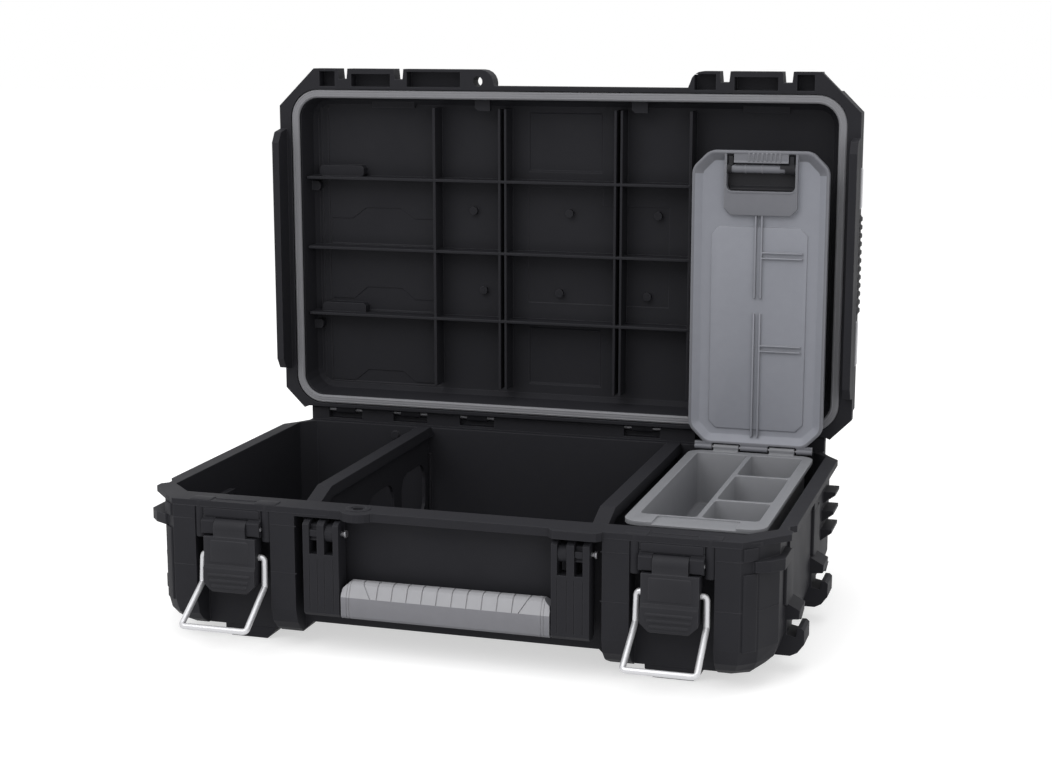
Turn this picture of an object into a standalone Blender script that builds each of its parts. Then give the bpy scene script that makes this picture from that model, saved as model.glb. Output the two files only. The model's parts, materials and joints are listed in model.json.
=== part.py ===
"""Stackable black tool box, standing open: a deep base with two toggle latches, a folding
carry handle, lift-out dividers and an organizer bin, under a ribbed lid with a gasket.

Sizes are in millimetres and are scaled to metres when a mesh is made. X runs to the right,
Y to the back and Z up; the floor is Z = 0, under the feet, and X = 0 is the middle.
A place on the lid is (x, s, t): s is the way forward from the hinge axis along the closed
lid and t the height above the axis. Standing open, s points up and t to the back.
"""
import math

import bmesh
import bpy

MM = 0.001
GAP = 0.35                      # clearance between pieces that touch
EMBED = 1.5                     # how far a joined form reaches into its neighbour

# Box
WIDTH = 565.0                   # across the lid's flange
LID_REACH = 338.0               # hinge axis to the lid's front edge
RIM_Z = 123.2                   # top of the base's rim
HINGE_Y = 166.4
HINGE_RISE = 10.4               # hinge axis above the rim
LID_TOP = 44.7                  # hinge axis to the lid's top
WALL = 3.4

HALF_W = WIDTH / 2
HINGE_Z = RIM_Z + HINGE_RISE
FRONT_Y = HINGE_Y - LID_REACH - 0.4
BACK_Y = HINGE_Y - 9.4
BODY_X = HALF_W - 16.5
FLANGE_X = HALF_W - 8.0
CORNER_X = BODY_X - 25.0

# Base
BODY_BOTTOM = 10.5
FOOT_TOP = BODY_BOTTOM + EMBED
CHAMFER = 20.5                  # slope round the bottom edge
SHELF_Y = FRONT_Y + 20.0        # wall behind the handle
POCKET_Y = FRONT_Y + 22.0       # wall behind the latches
CAVITY_FRONT = FRONT_Y + 25.0
CAVITY_BACK = BACK_Y - 2.6
CAVITY_X = BODY_X - 4.0
LATCH_X = HALF_W - 95.5         # middle of each latch, over its foot
STEP_Z = 20.0                   # underside between the two side runs
STEP_X = LATCH_X - 63.0
FLOOR_Z = STEP_Z + WALL
RIM_PLATE = 5.2
PIN_R = 2.0
BORE_R = PIN_R + GAP

# Hinge
WALL_FRONT = HINGE_Y - 3.4
WALL_BACK = HINGE_Y + 4.1
WALL_X = HALF_W - 25.0
KNUCKLE_R = 3.6
HINGE_BACK = 2.4                # thickness of the wall behind the lugs
NOTCH_W = 35.6
NOTCH_X = tuple(WALL_X - inset for inset in (174.3, 104.8, 36.0))
LUG_W = 20.0
HINGE_PIN_START = NOTCH_X[0] - 23.2

# Latches
LEVER_HALF = 23.2
POCKET_HALF = LEVER_HALF + 10.8
TAB_HALF = 14.3
EAR_HALF = LEVER_HALF + 2.8
LEVER_PIVOT_Y = FRONT_Y
LEVER_PIVOT_Z = RIM_Z - 21.3
LEVER_FRONT = 7.0               # pivot to the lever's face
LEVER_BACK = 6.0
LEVER_LENGTH = 54.6
BAIL_PIVOT_DROP = 24.5
BAIL_PIVOT_BACK = 1.5
WIRE_R = 2.6
BAIL_HALF = LEVER_HALF + 4.8
BAIL_SPLAY = 1.2                # how much wider the bail is at its bar
CATCH_HALF = BAIL_HALF + 0.75   # middle of the latch to the notches in the lid

# Handle
HANDLE_Z = RIM_Z - 20.2
HANDLE_Y = FRONT_Y + 4.0
HANDLE_FRONT = 8.0
ARM_OUT = LATCH_X - 65.2
ARM_IN = ARM_OUT - 31.3
RECESS_HALF = ARM_OUT + 9.2     # room that the handle hangs in
HANDLE_DROP = 70.0
SLOTS = ((4.8, 12.7), (18.8, 25.9))   # slots across an arm, from its inner face

# Organizer
BIN_X = (BODY_X - 128.5, BODY_X - 13.0)
BIN_Y = (CAVITY_FRONT + 11.0, CAVITY_BACK - 23.4)
BIN_TOP = RIM_Z + 1.2
BIN_DEPTH = 52.0
BIN_PLATE = 4.0
COVER_X = (BIN_X[0] - 3.0, BIN_X[1] + 6.0)
COVER_HINGE_Y = BIN_Y[1] + 3.0
COVER_HINGE_Z = BIN_TOP + 3.0
COVER_LENGTH = BIN_Y[1] - BIN_Y[0] + 7.5
COVER_FRONT = COVER_HINGE_Y - 2.0
COVER_BACK = COVER_HINGE_Y + 6.0
CELL_X = COVER_X[0] - 8.5       # rib of the lid beside the cover

# Dividers
DIVIDER_X = (134.5 - BODY_X, BIN_X[0] - 19.0)
BAND_W = 13.0
BAND_TOP = RIM_Z + 2.8

BLACK = (0.021, 0.021, 0.024)
GREY = (0.205, 0.209, 0.225)
GRIP_GREY = (0.19, 0.19, 0.205)
GASKET_GREY = (0.25, 0.25, 0.26)
STRIP_GREY = (0.52, 0.53, 0.55)
STEEL = (0.62, 0.63, 0.65)


def clear_scene():
    """Remove every object that the scene holds."""
    for item in list(bpy.data.objects):
        bpy.data.objects.remove(item, do_unlink=True)


def make_material(name, colour, roughness, metallic):
    """One Principled material."""
    material = bpy.data.materials.new(name)
    material.use_nodes = True
    shader = material.node_tree.nodes["Principled BSDF"]
    shader.inputs["Base Color"].default_value = (*colour, 1.0)
    shader.inputs["Roughness"].default_value = roughness
    shader.inputs["Metallic"].default_value = metallic
    return material


def arc(centre, radius, start, stop, steps):
    """Points on an arc between two angles in degrees, both ends included."""
    points = []
    for step in range(steps + 1):
        angle = math.radians(start + (stop - start) * step / steps)
        points.append((centre[0] + radius * math.cos(angle), centre[1] + radius * math.sin(angle)))
    return points


def mirrored(points):
    """A right-hand half outline closed by its mirror image across x = 0."""
    return points + [(-x, y) for x, y in reversed(points)]


def rounded_rect(x, y, radius, steps):
    """Rectangle outline over two ranges, with round corners."""
    points = []
    corners = ((x[1], y[0], -90), (x[1], y[1], 0), (x[0], y[1], 90), (x[0], y[0], 180))
    for cx, cy, start in corners:
        px = cx - radius if cx == x[1] else cx + radius
        py = cy - radius if cy == y[1] else cy + radius
        points += arc((px, py), radius, start, start + 90, steps)
    return points


def chamfered_rect(x, y, cut):
    """Rectangle outline over two ranges, with its corners cut off."""
    return [
        (x[0] + cut, y[0]), (x[1] - cut, y[0]), (x[1], y[0] + cut), (x[1], y[1] - cut),
        (x[1] - cut, y[1]), (x[0] + cut, y[1]), (x[0], y[1] - cut), (x[0], y[0] + cut),
    ]


class Shape:
    """Closed shells gathered in one mesh."""

    def __init__(self):
        self.mesh = bmesh.new()

    def loft(self, rings):
        """Join rings of 3-D points, all of one length, and close both ends."""
        loops = [[self.mesh.verts.new(point) for point in ring] for ring in rings]
        for low, high in zip(loops, loops[1:]):
            self._bridge(low, high)
        self.mesh.faces.new(loops[0])
        self.mesh.faces.new(loops[-1])

    def ring_loft(self, rings):
        """Join rings of 3-D points into a closed loop without ends."""
        loops = [[self.mesh.verts.new(point) for point in ring] for ring in rings]
        for low, high in zip(loops, loops[1:] + loops[:1]):
            self._bridge(low, high)

    def _bridge(self, low, high):
        count = len(low)
        for index in range(count):
            after = (index + 1) % count
            self.mesh.faces.new((low[index], low[after], high[after], high[index]))

    def prism(self, axis, outline, low, high):
        """Push an outline along an axis: (y, z) along x, (x, z) along y or (x, y) along z."""
        def place(point, depth):
            return {"x": (depth, *point), "y": (point[0], depth, point[1]), "z": (*point, depth)}[axis]
        self.loft([[place(point, depth) for point in outline] for depth in (low, high)])

    def box(self, x, y, z):
        """A block over three ranges."""
        self.prism("z", [(x[0], y[0]), (x[1], y[0]), (x[1], y[1]), (x[0], y[1])], z[0], z[1])

    def rod(self, axis, centre, radius, low, high, sides=12):
        """A round bar along an axis."""
        ring = arc(centre, radius, 180 / sides, 360 + 180 / sides, sides)[:-1]
        self.prism(axis, ring, low, high)

    def taper(self, x, y, z, shrink, cut=0.0):
        """A block whose lower end is smaller by shrink on each side, corners cut."""
        rings = []
        for height, inset in ((z[0], shrink), (z[1], 0.0)):
            outline = chamfered_rect((x[0] + inset, x[1] - inset), (y[0] + inset, y[1] - inset),
                                     max(cut, 0.01))
            rings.append([(px, py, height) for px, py in outline])
        self.loft(rings)

    def lid_prism(self, outline, low, high):
        """Push an (x, s) outline of the open lid from one t to another."""
        self.prism("y", [(x, HINGE_Z + s) for x, s in outline], HINGE_Y + low, HINGE_Y + high)

    def lid_box(self, x, s, t):
        """A block over three ranges of the open lid."""
        self.box(x, (HINGE_Y + t[0], HINGE_Y + t[1]), (HINGE_Z + s[0], HINGE_Z + s[1]))

    def lid_loft(self, sections):
        """Join (x, s) outlines of the open lid, each given with its t."""
        self.loft([[(x, HINGE_Y + t, HINGE_Z + s) for x, s in outline] for outline, t in sections])

    def build(self, name, origin=(0.0, 0.0, 0.0)):
        """Turn the shells into an object whose origin lies at a chosen point."""
        bmesh.ops.recalc_face_normals(self.mesh, faces=self.mesh.faces)
        for vert in self.mesh.verts:
            vert.co = [(a - b) * MM for a, b in zip(vert.co, origin)]
        data = bpy.data.meshes.new(name)
        self.mesh.to_mesh(data)
        self.mesh.free()
        item = bpy.data.objects.new(name, data)
        item.location = [value * MM for value in origin]
        bpy.context.scene.collection.objects.link(item)
        return item


def finish(item, material, smooth=True):
    """Give a piece its material and shade its round runs smooth."""
    item.data.materials.append(material)
    if smooth and item.type == "MESH":
        item.data.shade_smooth()
        item.data.set_sharp_from_angle(angle=math.radians(32))
    return item


def combine(item, shape, operation, label):
    """Add or take away a helper shape with an exact Boolean."""
    helper = shape.build(f"{item.name}_{label}")
    helper.hide_render = True
    helper.display_type = "WIRE"
    modifier = item.modifiers.new(label, "BOOLEAN")
    modifier.operation = operation
    modifier.solver = "EXACT"
    modifier.use_self = True
    modifier.object = helper


def add(item, shape, label):
    """Join a shape to a piece."""
    combine(item, shape, "UNION", label)


def cut(item, shape, label):
    """Take a shape out of a piece."""
    combine(item, shape, "DIFFERENCE", label)


def sides(function):
    """Call a function for the left side and for the right side."""
    for sign in (-1, 1):
        function(sign)


def span(sign, low, high):
    """A range on the left or right side, in rising order."""
    return (low, high) if sign > 0 else (-high, -low)


# Base

def tub_outline(inset):
    """Outline of the base seen from above, drawn in by an inset."""
    corner = CORNER_X - inset * 0.45
    half = [
        (corner, FRONT_Y + inset),
        (corner + 13.0, FRONT_Y + 12.0 + inset * 0.8),
        (BODY_X - inset, FRONT_Y + 34.0 + inset * 0.45),
        (BODY_X - inset, BACK_Y - 16.0 - inset * 0.45),
        (BODY_X - 14.0 - inset * 0.45, BACK_Y - inset),
    ]
    return mirrored(half)


def flange_outline():
    """Outline of the base's rim: tips at the front corners, then the side flanges."""
    notch = FLANGE_X - 5.0
    half = [
        (CORNER_X + 1.0, FRONT_Y), (FLANGE_X, FRONT_Y + 36.0), (FLANGE_X, FRONT_Y + 44.0),
        (notch, FRONT_Y + 49.0), (notch, FRONT_Y + 58.0), (FLANGE_X, FRONT_Y + 63.0),
        (FLANGE_X, BACK_Y - 27.0), (FLANGE_X - 10.0, BACK_Y - 13.4), (WALL_X, BACK_Y - 1.0),
        (WALL_X, WALL_BACK),
    ]
    return mirrored(half)


def hook_profile():
    """Section of a side hook, an open J whose slot takes an accessory rail."""
    out = HALF_W - 0.2
    return [
        (BODY_X - 18.0, 59.5), (BODY_X, 59.5), (out - 4.0, 53.0), (out - 4.6, 45.9),
        (BODY_X + 2.0, 44.9), (BODY_X + 2.0, 32.4), (out - 6.8, 30.9), (out - 5.8, 38.4),
        (out - 2.3, 38.4), (out, 36.4), (out, 24.9), (out - 5.3, 17.7),
        (out - 11.0, 14.8), (BODY_X - 18.0, 14.8),
    ]


def tooth_profile():
    """Section of a hinge tooth, rounded towards the lid's path."""
    crown = arc((HINGE_Y, HINGE_Z), KNUCKLE_R, 0, 172, 8)
    return [(WALL_BACK, RIM_Z - 6.0)] + crown + [(WALL_FRONT, HINGE_Z), (WALL_FRONT, RIM_Z - 6.0)]


def hinge_back_profile():
    """Section of the thin wall that closes the hinge slots from behind."""
    front = HINGE_Y + KNUCKLE_R + GAP
    back = front + HINGE_BACK
    foot = RIM_Z - 9.5
    return [
        (WALL_FRONT + 2.0, foot), (back, foot), (back, HINGE_Z + 3.2), (front, HINGE_Z + 3.2),
        (front, RIM_Z + 1.5), (WALL_FRONT + 2.0, RIM_Z + 1.5),
    ]


def base_outside(base):
    """Rim, hinge wall, hooks, ledges, ribs and feet on the outside of the base."""
    shape = Shape()
    shape.prism("z", flange_outline(), RIM_Z - RIM_PLATE, RIM_Z)
    shape.box((-WALL_X, WALL_X), (BACK_Y - 7.0, WALL_BACK - 0.1), (RIM_Z - 11.0, RIM_Z - 1.0))
    shape.box((-WALL_X, WALL_X), (WALL_FRONT, WALL_BACK - 0.2), (RIM_Z - 3.0, RIM_Z + 2.2))
    edges = [-WALL_X] + [side for x in sorted([-x for x in NOTCH_X] + list(NOTCH_X))
                         for side in (x - NOTCH_W / 2, x + NOTCH_W / 2)] + [WALL_X]
    for low, high in zip(edges[::2], edges[1::2]):
        shape.prism("x", tooth_profile(), low, high)
    shape.prism("x", hinge_back_profile(), -WALL_X + 0.1, WALL_X - 0.1)
    for inset in (227.5, 157.5, 87.5, 17.5):
        for centre in (inset - WALL_X, WALL_X - inset):
            rib = [(BACK_Y - 5.0, 58.0), (BACK_Y + 1.0, 58.0), (WALL_BACK - 2.0, RIM_Z - 9.0),
                   (BACK_Y - 5.0, RIM_Z - 9.0)]
            shape.prism("x", rib, centre - 1.6, centre + 1.6)
    sides(lambda sign: base_side(shape, sign))
    ear = arc((-76.5, FRONT_Y + 8.0), 15.5, 0, 360, 20)[:-1]
    shape.prism("z", ear, RIM_Z - 8.3, RIM_Z - 0.1)
    low, high = ARM_IN - 2.5, RECESS_HALF
    shape.prism("z", [(low + 4.0, FRONT_Y - 6.0), (high - 4.0, FRONT_Y - 6.0), (high, FRONT_Y - 2.0),
                      (high, FRONT_Y + 4.0), (low, FRONT_Y + 4.0), (low, FRONT_Y - 2.0)],
                RIM_Z - 7.2, RIM_Z - 0.2)
    add(base, shape, "outside")


def base_side(shape, sign):
    """Hooks, ribs, finger ledge and feet of one side."""
    def flip(points):
        return [(sign * x, y) for x, y in points]
    for y in (FRONT_Y + 63.0, FRONT_Y + 198.0):
        shape.prism("y", flip(hook_profile()), y, y + 28.0)
        strap = [(BODY_X - 6.0, 54.0), (BODY_X + 2.4, 60.0), (BODY_X + 2.4, RIM_Z - 15.0),
                 (BODY_X - 6.0, RIM_Z - 8.0)]
        shape.prism("y", flip(strap), y + 5.0, y + 23.0)
    for top, reach in ((68.0, 10.0), (84.0, 10.5), (100.0, 11.0)):
        fin = [(BODY_X - 6.0, top), (BODY_X + reach, top), (BODY_X + reach, top - 3.0),
               (BODY_X - 6.0, top - 15.0)]
        shape.prism("y", flip(fin), BACK_Y - 92.0 + top * 0.35, BACK_Y - 30.0)
    ledge = [
        (CORNER_X - 8.0, FRONT_Y + 16.0), (CORNER_X + 11.0, FRONT_Y + 6.5),
        (CORNER_X + 22.0, FRONT_Y + 12.5), (BODY_X + 6.0, FRONT_Y + 23.0),
        (BODY_X + 6.0, FRONT_Y + 54.0), (BODY_X - 2.0, FRONT_Y + 62.0), (CORNER_X - 8.0, FRONT_Y + 62.0),
    ]
    shape.prism("z", flip(ledge), RIM_Z - 25.2, RIM_Z - 16.2)
    for y in (POCKET_Y + 1.0, BACK_Y - 70.0):
        foot = [
            (LATCH_X - 19.0, 0.0), (LATCH_X + 14.0, 0.0), (LATCH_X + 19.5, 5.5),
            (LATCH_X + 19.5, FOOT_TOP), (LATCH_X - 26.0, FOOT_TOP), (LATCH_X - 26.0, 7.0),
        ]
        shape.prism("y", flip(foot), y, y + 44.0)


def base_hollow(base):
    """Room inside the base, latch pockets and the space for the handle."""
    shape = Shape()
    rings = []
    for z, inset in ((BODY_BOTTOM + WALL, 18.5), (BODY_BOTTOM + WALL + 6.0, 9.5), (BODY_BOTTOM + WALL + 18.5, 0.8),
                     (RIM_Z + 4.0, 0.0)):
        back = CAVITY_BACK - inset
        half = [
            (CAVITY_X - 22.0 - inset * 0.6, CAVITY_FRONT), (CAVITY_X - inset, CAVITY_FRONT + 22.0),
            (CAVITY_X - inset, back - 13.0), (CAVITY_X - 13.0 - inset, back),
        ]
        rings.append([(x, y, z) for x, y in mirrored(half)])
    shape.loft(rings)
    shape.box((-RECESS_HALF, RECESS_HALF), (FRONT_Y - 30.0, SHELF_Y), (-5.0, RIM_Z - RIM_PLATE - 2.0))
    sides(lambda sign: latch_pocket(shape, sign))
    cut(base, shape, "hollow")


def latch_pocket(shape, sign):
    """Pocket behind one latch, with the window for the lever's tab."""
    low, high = LATCH_X - POCKET_HALF, LATCH_X + POCKET_HALF
    front = (FRONT_Y - 12.0, POCKET_Y)
    shape.box(span(sign, low, high), front, (-5.0, LEVER_PIVOT_Z - 9.5))
    shape.box(span(sign, LATCH_X - EAR_HALF, LATCH_X + EAR_HALF), front,
              (LEVER_PIVOT_Z - 12.0, LEVER_PIVOT_Z - 6.9))
    shape.box(span(sign, LATCH_X - TAB_HALF - 0.5, LATCH_X + TAB_HALF + 0.5),
              (FRONT_Y - 12.0, SHELF_Y - 0.5), (LEVER_PIVOT_Z - 8.0, LEVER_PIVOT_Z + 7.4))
    for x in ((low, LATCH_X - EAR_HALF), (LATCH_X + EAR_HALF, high)):
        shape.box(span(sign, *x), (FRONT_Y - 12.0, FRONT_Y + 7.0),
                  (LEVER_PIVOT_Z - 11.0, RIM_Z - RIM_PLATE - 0.1))


def base_inside(base):
    """Raised floor, divider guides, bin bearers, latch ears and handle webs."""
    shape = Shape()
    floor = []
    for z, x, y in ((BODY_BOTTOM + 2.0, STEP_X + 21.5, CAVITY_BACK - 18.0),
                    (FLOOR_Z, STEP_X + 10.5, CAVITY_BACK - 9.0)):
        low = CAVITY_FRONT - EMBED
        floor.append([(-x, low, z), (x, low, z), (x, y, z), (-x, y, z)])
    shape.loft(floor)
    for x in DIVIDER_X:
        for side in (-1, 1):
            rib = sorted((x + side * 1.9, x + side * 4.4))
            shape.box(rib, (CAVITY_FRONT - EMBED, CAVITY_FRONT + 4.0), (FLOOR_Z - 6.0, 98.0))
            shape.box(rib, (CAVITY_BACK - 4.5, CAVITY_BACK + EMBED), (FLOOR_Z + 12.0, 98.0))
    bearer_top = BIN_TOP - BIN_DEPTH - GAP
    for y in (BIN_Y[0] + 26.0, BIN_Y[1] - 16.0):
        inner = BIN_X[0] + 3.5
        bearer = [(inner, BODY_BOTTOM + 2.0), (BODY_X - 20.0, BODY_BOTTOM + 2.0),
                  (BODY_X - 2.0, BODY_BOTTOM + 20.0), (BODY_X - 2.0, bearer_top), (inner, bearer_top)]
        shape.prism("y", bearer, y - 2.0, y + 2.0)
    for z, y in ((94.0, (-96.0, -20.0)), (87.0, (-112.0, -52.0))):
        shelf = [(-CAVITY_X - EMBED, z), (-CAVITY_X + 5.0, z), (-CAVITY_X + 5.0, z - 4.0),
                 (-CAVITY_X - EMBED, z - 12.0)]
        shape.prism("y", shelf, *y)
    shape.rod("y", (-165.0, RIM_Z - 9.2), 4.0, CAVITY_BACK - 2.5, CAVITY_BACK + EMBED)
    sides(lambda sign: base_pivots(shape, sign))
    add(base, shape, "inside")


def base_pivots(shape, sign):
    """Latch ears and handle webs of one side."""
    reach = 4.5
    rise = math.degrees(math.acos(reach / 6.9))
    centre = (LEVER_PIVOT_Y, LEVER_PIVOT_Z)
    nose = arc(centre, 6.9, 270, 180 + rise, 3) + arc(centre, 6.9, 180 - rise, 90, 3)
    ear = nose + [(LEVER_PIVOT_Y, RIM_Z - RIM_PLATE + 1.0), (SHELF_Y + 2.0, RIM_Z - RIM_PLATE + 1.0),
                  (SHELF_Y + 2.0, LEVER_PIVOT_Z - 6.9)]
    for x in ((LATCH_X - EAR_HALF, LATCH_X - TAB_HALF - 0.5), (LATCH_X + TAB_HALF + 0.5, LATCH_X + EAR_HALF)):
        shape.prism("x", ear, *span(sign, *x))
    centre = (HANDLE_Y, HANDLE_Z)
    plain = arc(centre, 7.5, 90, 270, 10) + [(SHELF_Y + EMBED, HANDLE_Z - 12.0), (SHELF_Y + EMBED, HANDLE_Z + 10.0)]
    stepped = [
        (HANDLE_Y, HANDLE_Z + 7.5), (HANDLE_Y - 3.0, HANDLE_Z + 6.5), (HANDLE_Y - 3.0, HANDLE_Z + 3.5),
        (HANDLE_Y - 7.0, HANDLE_Z + 3.0), (HANDLE_Y - 7.0, HANDLE_Z - 2.0), (HANDLE_Y - 4.0, HANDLE_Z - 3.0),
        (HANDLE_Y - 5.5, HANDLE_Z - 5.5), (HANDLE_Y, HANDLE_Z - 7.5),
        (SHELF_Y + EMBED, HANDLE_Z - 12.0), (SHELF_Y + EMBED, HANDLE_Z + 10.0),
    ]
    for (low, high), web in zip(SLOTS, (plain, stepped)):
        shape.prism("x", web, *span(sign, ARM_IN + low + GAP, ARM_IN + high - GAP))


def base_bores(base):
    """Underside step, padlock hole and every pin bore of the base."""
    shape = Shape()
    under = [(-STEP_X, STEP_Z), (STEP_X, STEP_Z), (STEP_X + 14.0, STEP_Z - 14.0), (STEP_X + 14.0, -9.0),
             (-STEP_X - 14.0, -9.0), (-STEP_X - 14.0, STEP_Z - 14.0)]
    shape.prism("y", under, FRONT_Y - 20.0, BACK_Y + 20.0)
    shape.rod("z", (-78.6, FRONT_Y + 11.6), 4.75, RIM_Z - 20.0, RIM_Z + 10.0, 16)
    for sign in (-1, 1):
        line = LEVER_PIVOT_Z + 9.6
        shape.box(span(sign, LATCH_X - EAR_HALF + 0.2, LATCH_X + EAR_HALF - 0.2), (FRONT_Y - 2.0, FRONT_Y + 0.7),
                  (line - 0.45, line + 0.45))
        shape.rod("x", (HINGE_Y, HINGE_Z), BORE_R, *span(sign, HINGE_PIN_START - 3.0, WALL_X + 5.0))
        shape.rod("x", (LEVER_PIVOT_Y, LEVER_PIVOT_Z), BORE_R,
                  *(sign * LATCH_X + side * (EAR_HALF + 1.0) for side in (-1, 1)))
        shape.rod("x", (HANDLE_Y, HANDLE_Z), BORE_R, *span(sign, ARM_IN, ARM_OUT))
    cut(base, shape, "bores")


def base_shell():
    """The base: one moulding from the feet to the hinge teeth."""
    shape = Shape()
    shape.loft([[(x, y, BODY_BOTTOM + rise) for x, y in tub_outline(inset)] for rise, inset in
                ((0.0, CHAMFER - 0.5), (0.26 * CHAMFER, 0.52 * CHAMFER), (0.62 * CHAMFER, 0.17 * CHAMFER),
                 (1.2 * CHAMFER, 0.0), (RIM_Z - BODY_BOTTOM - 2.0, 0.0))])
    base = shape.build("base_shell")
    base_outside(base)
    base_hollow(base)
    base_inside(base)
    base_bores(base)
    return finish(base, make_material("base_black_plastic", BLACK, 0.48, 0.0))


# Lid

FLANGE_FACE = -9.8              # parting face of the lid
SEAT = -5.0                     # floor of the gasket's seat
FLANGE_BACK = -1.0
BLOCK_BACK = 6.5                # top of the catch edges
DOME_X = HALF_W - 3.0
DOME_FRONT = LID_REACH - 18.0
LOW_EDGE = LID_REACH - 15.2
LID_FLOOR = 20.0
PANEL_DEEP = 1.6
PANEL_SHALLOW = 0.8
RIB_EDGE = -1.4
GASKET_X = HALF_W - 16.0
GASKET_S = (11.6, LID_REACH - 24.2)
GASKET_R = 24.0
BEAD = 4.0


def lid_outline():
    """Outline of the lid's flange, with the padlock ear and the low front edge."""
    ear = arc((-76.0, LID_REACH - 13.0), 13.0, 0, 90, 5)
    lobe = arc((138.0, LID_REACH - 12.0), 12.0, 90, 170, 4)
    return [
        (WALL_X + 0.5, 4.0), (HALF_W - 19.5, 2.0), (HALF_W, 21.5), (HALF_W, LID_REACH - 36.0),
        (HALF_W - 36.5, LID_REACH),
    ] + lobe + [(124.0, LOW_EDGE), (-62.0, LOW_EDGE)] + ear + [
        (-HALF_W + 36.5, LID_REACH), (-HALF_W, LID_REACH - 36.0), (-HALF_W, 21.5),
        (-HALF_W + 19.5, 2.0), (-WALL_X - 0.5, 4.0),
    ]


def catch_centres():
    """Middles of the notches that the bails pass through."""
    return [side * LATCH_X + offset for side in (-1, 1) for offset in (-CATCH_HALF, CATCH_HALF)]


def lid_outside(lid):
    """Flange, catch blocks, skirts and hinge lugs round the lid's dome."""
    shape = Shape()
    shape.lid_prism(lid_outline(), FLANGE_FACE, FLANGE_BACK)
    deep = LID_REACH - 25.0
    left = [(-HALF_W + 36.5, LID_REACH - 0.1), (-HALF_W + 30.0, deep), (-64.0, deep)]
    left += arc((-76.0, LID_REACH - 13.0), 12.9, 0, 90, 5)
    right = [(HALF_W - 36.5, LID_REACH - 0.1)] + arc((138.0, LID_REACH - 12.0), 11.9, 90, 170, 4)
    right += [(126.0, deep), (HALF_W - 30.0, deep)]
    shape.lid_prism(left, FLANGE_FACE + 0.2, BLOCK_BACK)
    shape.lid_prism(right, FLANGE_FACE + 0.2, BLOCK_BACK)
    sides(lambda sign: lid_skirt(shape, sign))
    for x in NOTCH_X:
        for centre in (-x, x):
            lug = arc((HINGE_Y, HINGE_Z), KNUCKLE_R, 180, 360, 8)
            lug += [(HINGE_Y + KNUCKLE_R, HINGE_Z + 7.0), (HINGE_Y - KNUCKLE_R, HINGE_Z + 7.0)]
            shape.prism("x", lug, centre - LUG_W / 2, centre + LUG_W / 2)
    add(lid, shape, "outside")


def lid_skirt(shape, sign):
    """Skirt that hangs over one side of the base when the lid is shut."""
    profile = [(HINGE_Y + FLANGE_BACK - 1.0, HINGE_Z + 40.0), (HINGE_Y - 24.0, HINGE_Z + 44.0),
               (HINGE_Y - 30.4, HINGE_Z + 54.0), (HINGE_Y - 30.4, HINGE_Z + LID_REACH - 71.0),
               (HINGE_Y - 24.0, HINGE_Z + LID_REACH - 61.0),
               (HINGE_Y + FLANGE_BACK - 1.0, HINGE_Z + LID_REACH - 57.0)]
    shape.prism("x", profile, *span(sign, HALF_W - 7.0, HALF_W - 0.1))


def lid_hollow(lid):
    """Room inside the lid, gasket seat, notches, block pockets and the sunk top."""
    shape = Shape()
    rings = []
    for t, x, s, radius in ((FLANGE_FACE - 3.0, GASKET_X - 4.2, (15.3, GASKET_S[1] - 3.7), 20.0),
                            (SEAT, GASKET_X - 4.4, (15.5, GASKET_S[1] - 3.9), 20.0),
                            (LID_FLOOR - 5.0, GASKET_X - 8.5, (19.5, GASKET_S[1] - 6.5), 18.0),
                            (LID_FLOOR, GASKET_X - 12.0, (24.0, GASKET_S[1] - 11.0), 14.0)):
        rings.append((rounded_rect((-x, x), s, radius, 4), t))
    shape.lid_loft(rings)
    seat = rounded_rect((-GASKET_X - BEAD - GAP, GASKET_X + BEAD + GAP),
                        (GASKET_S[0] - BEAD - GAP, GASKET_S[1] + BEAD + GAP), GASKET_R + BEAD, 6)
    shape.lid_prism(seat, FLANGE_FACE - 3.0, SEAT)
    for x in catch_centres():
        shape.lid_prism([(x - 4.0, LID_REACH - 10.0), (x + 4.0, LID_REACH - 10.0),
                         (x + 5.4, LID_REACH + 4.0), (x - 5.4, LID_REACH + 4.0)],
                        FLANGE_FACE - 3.0, BLOCK_BACK + 30.0)
    pocket = (LID_REACH - 17.0, LID_REACH - 2.6)
    for side in (-1, 1):
        shape.lid_box(span(side, LATCH_X + 37.0, LATCH_X + 53.0), pocket, (FLANGE_FACE - 3.0, 3.5))
        shape.lid_box(span(side, LATCH_X - 20.0, LATCH_X + 20.0), (pocket[0], LID_REACH - 5.0),
                      (FLANGE_FACE - 3.0, 3.5))
    for x in ((-150.0, -96.0), (130.0, 150.0)):
        shape.lid_box(x, pocket, (FLANGE_FACE - 3.0, 3.5))
    sunk = chamfered_rect((-HALF_W + 44.0, HALF_W - 44.0), (26.0, DOME_FRONT - 18.0), 22.0)
    shape.lid_prism(sunk, LID_FLOOR + 4.0, LID_TOP + 5.0)
    shape.rod("y", (-78.6, HINGE_Z + LID_REACH - 11.2), 4.75, HINGE_Y - 20.0, HINGE_Y + 20.0, 16)
    sides(lambda sign: side_seats(shape, sign))
    cut(lid, shape, "hollow")
    lid_reliefs(lid)


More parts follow.
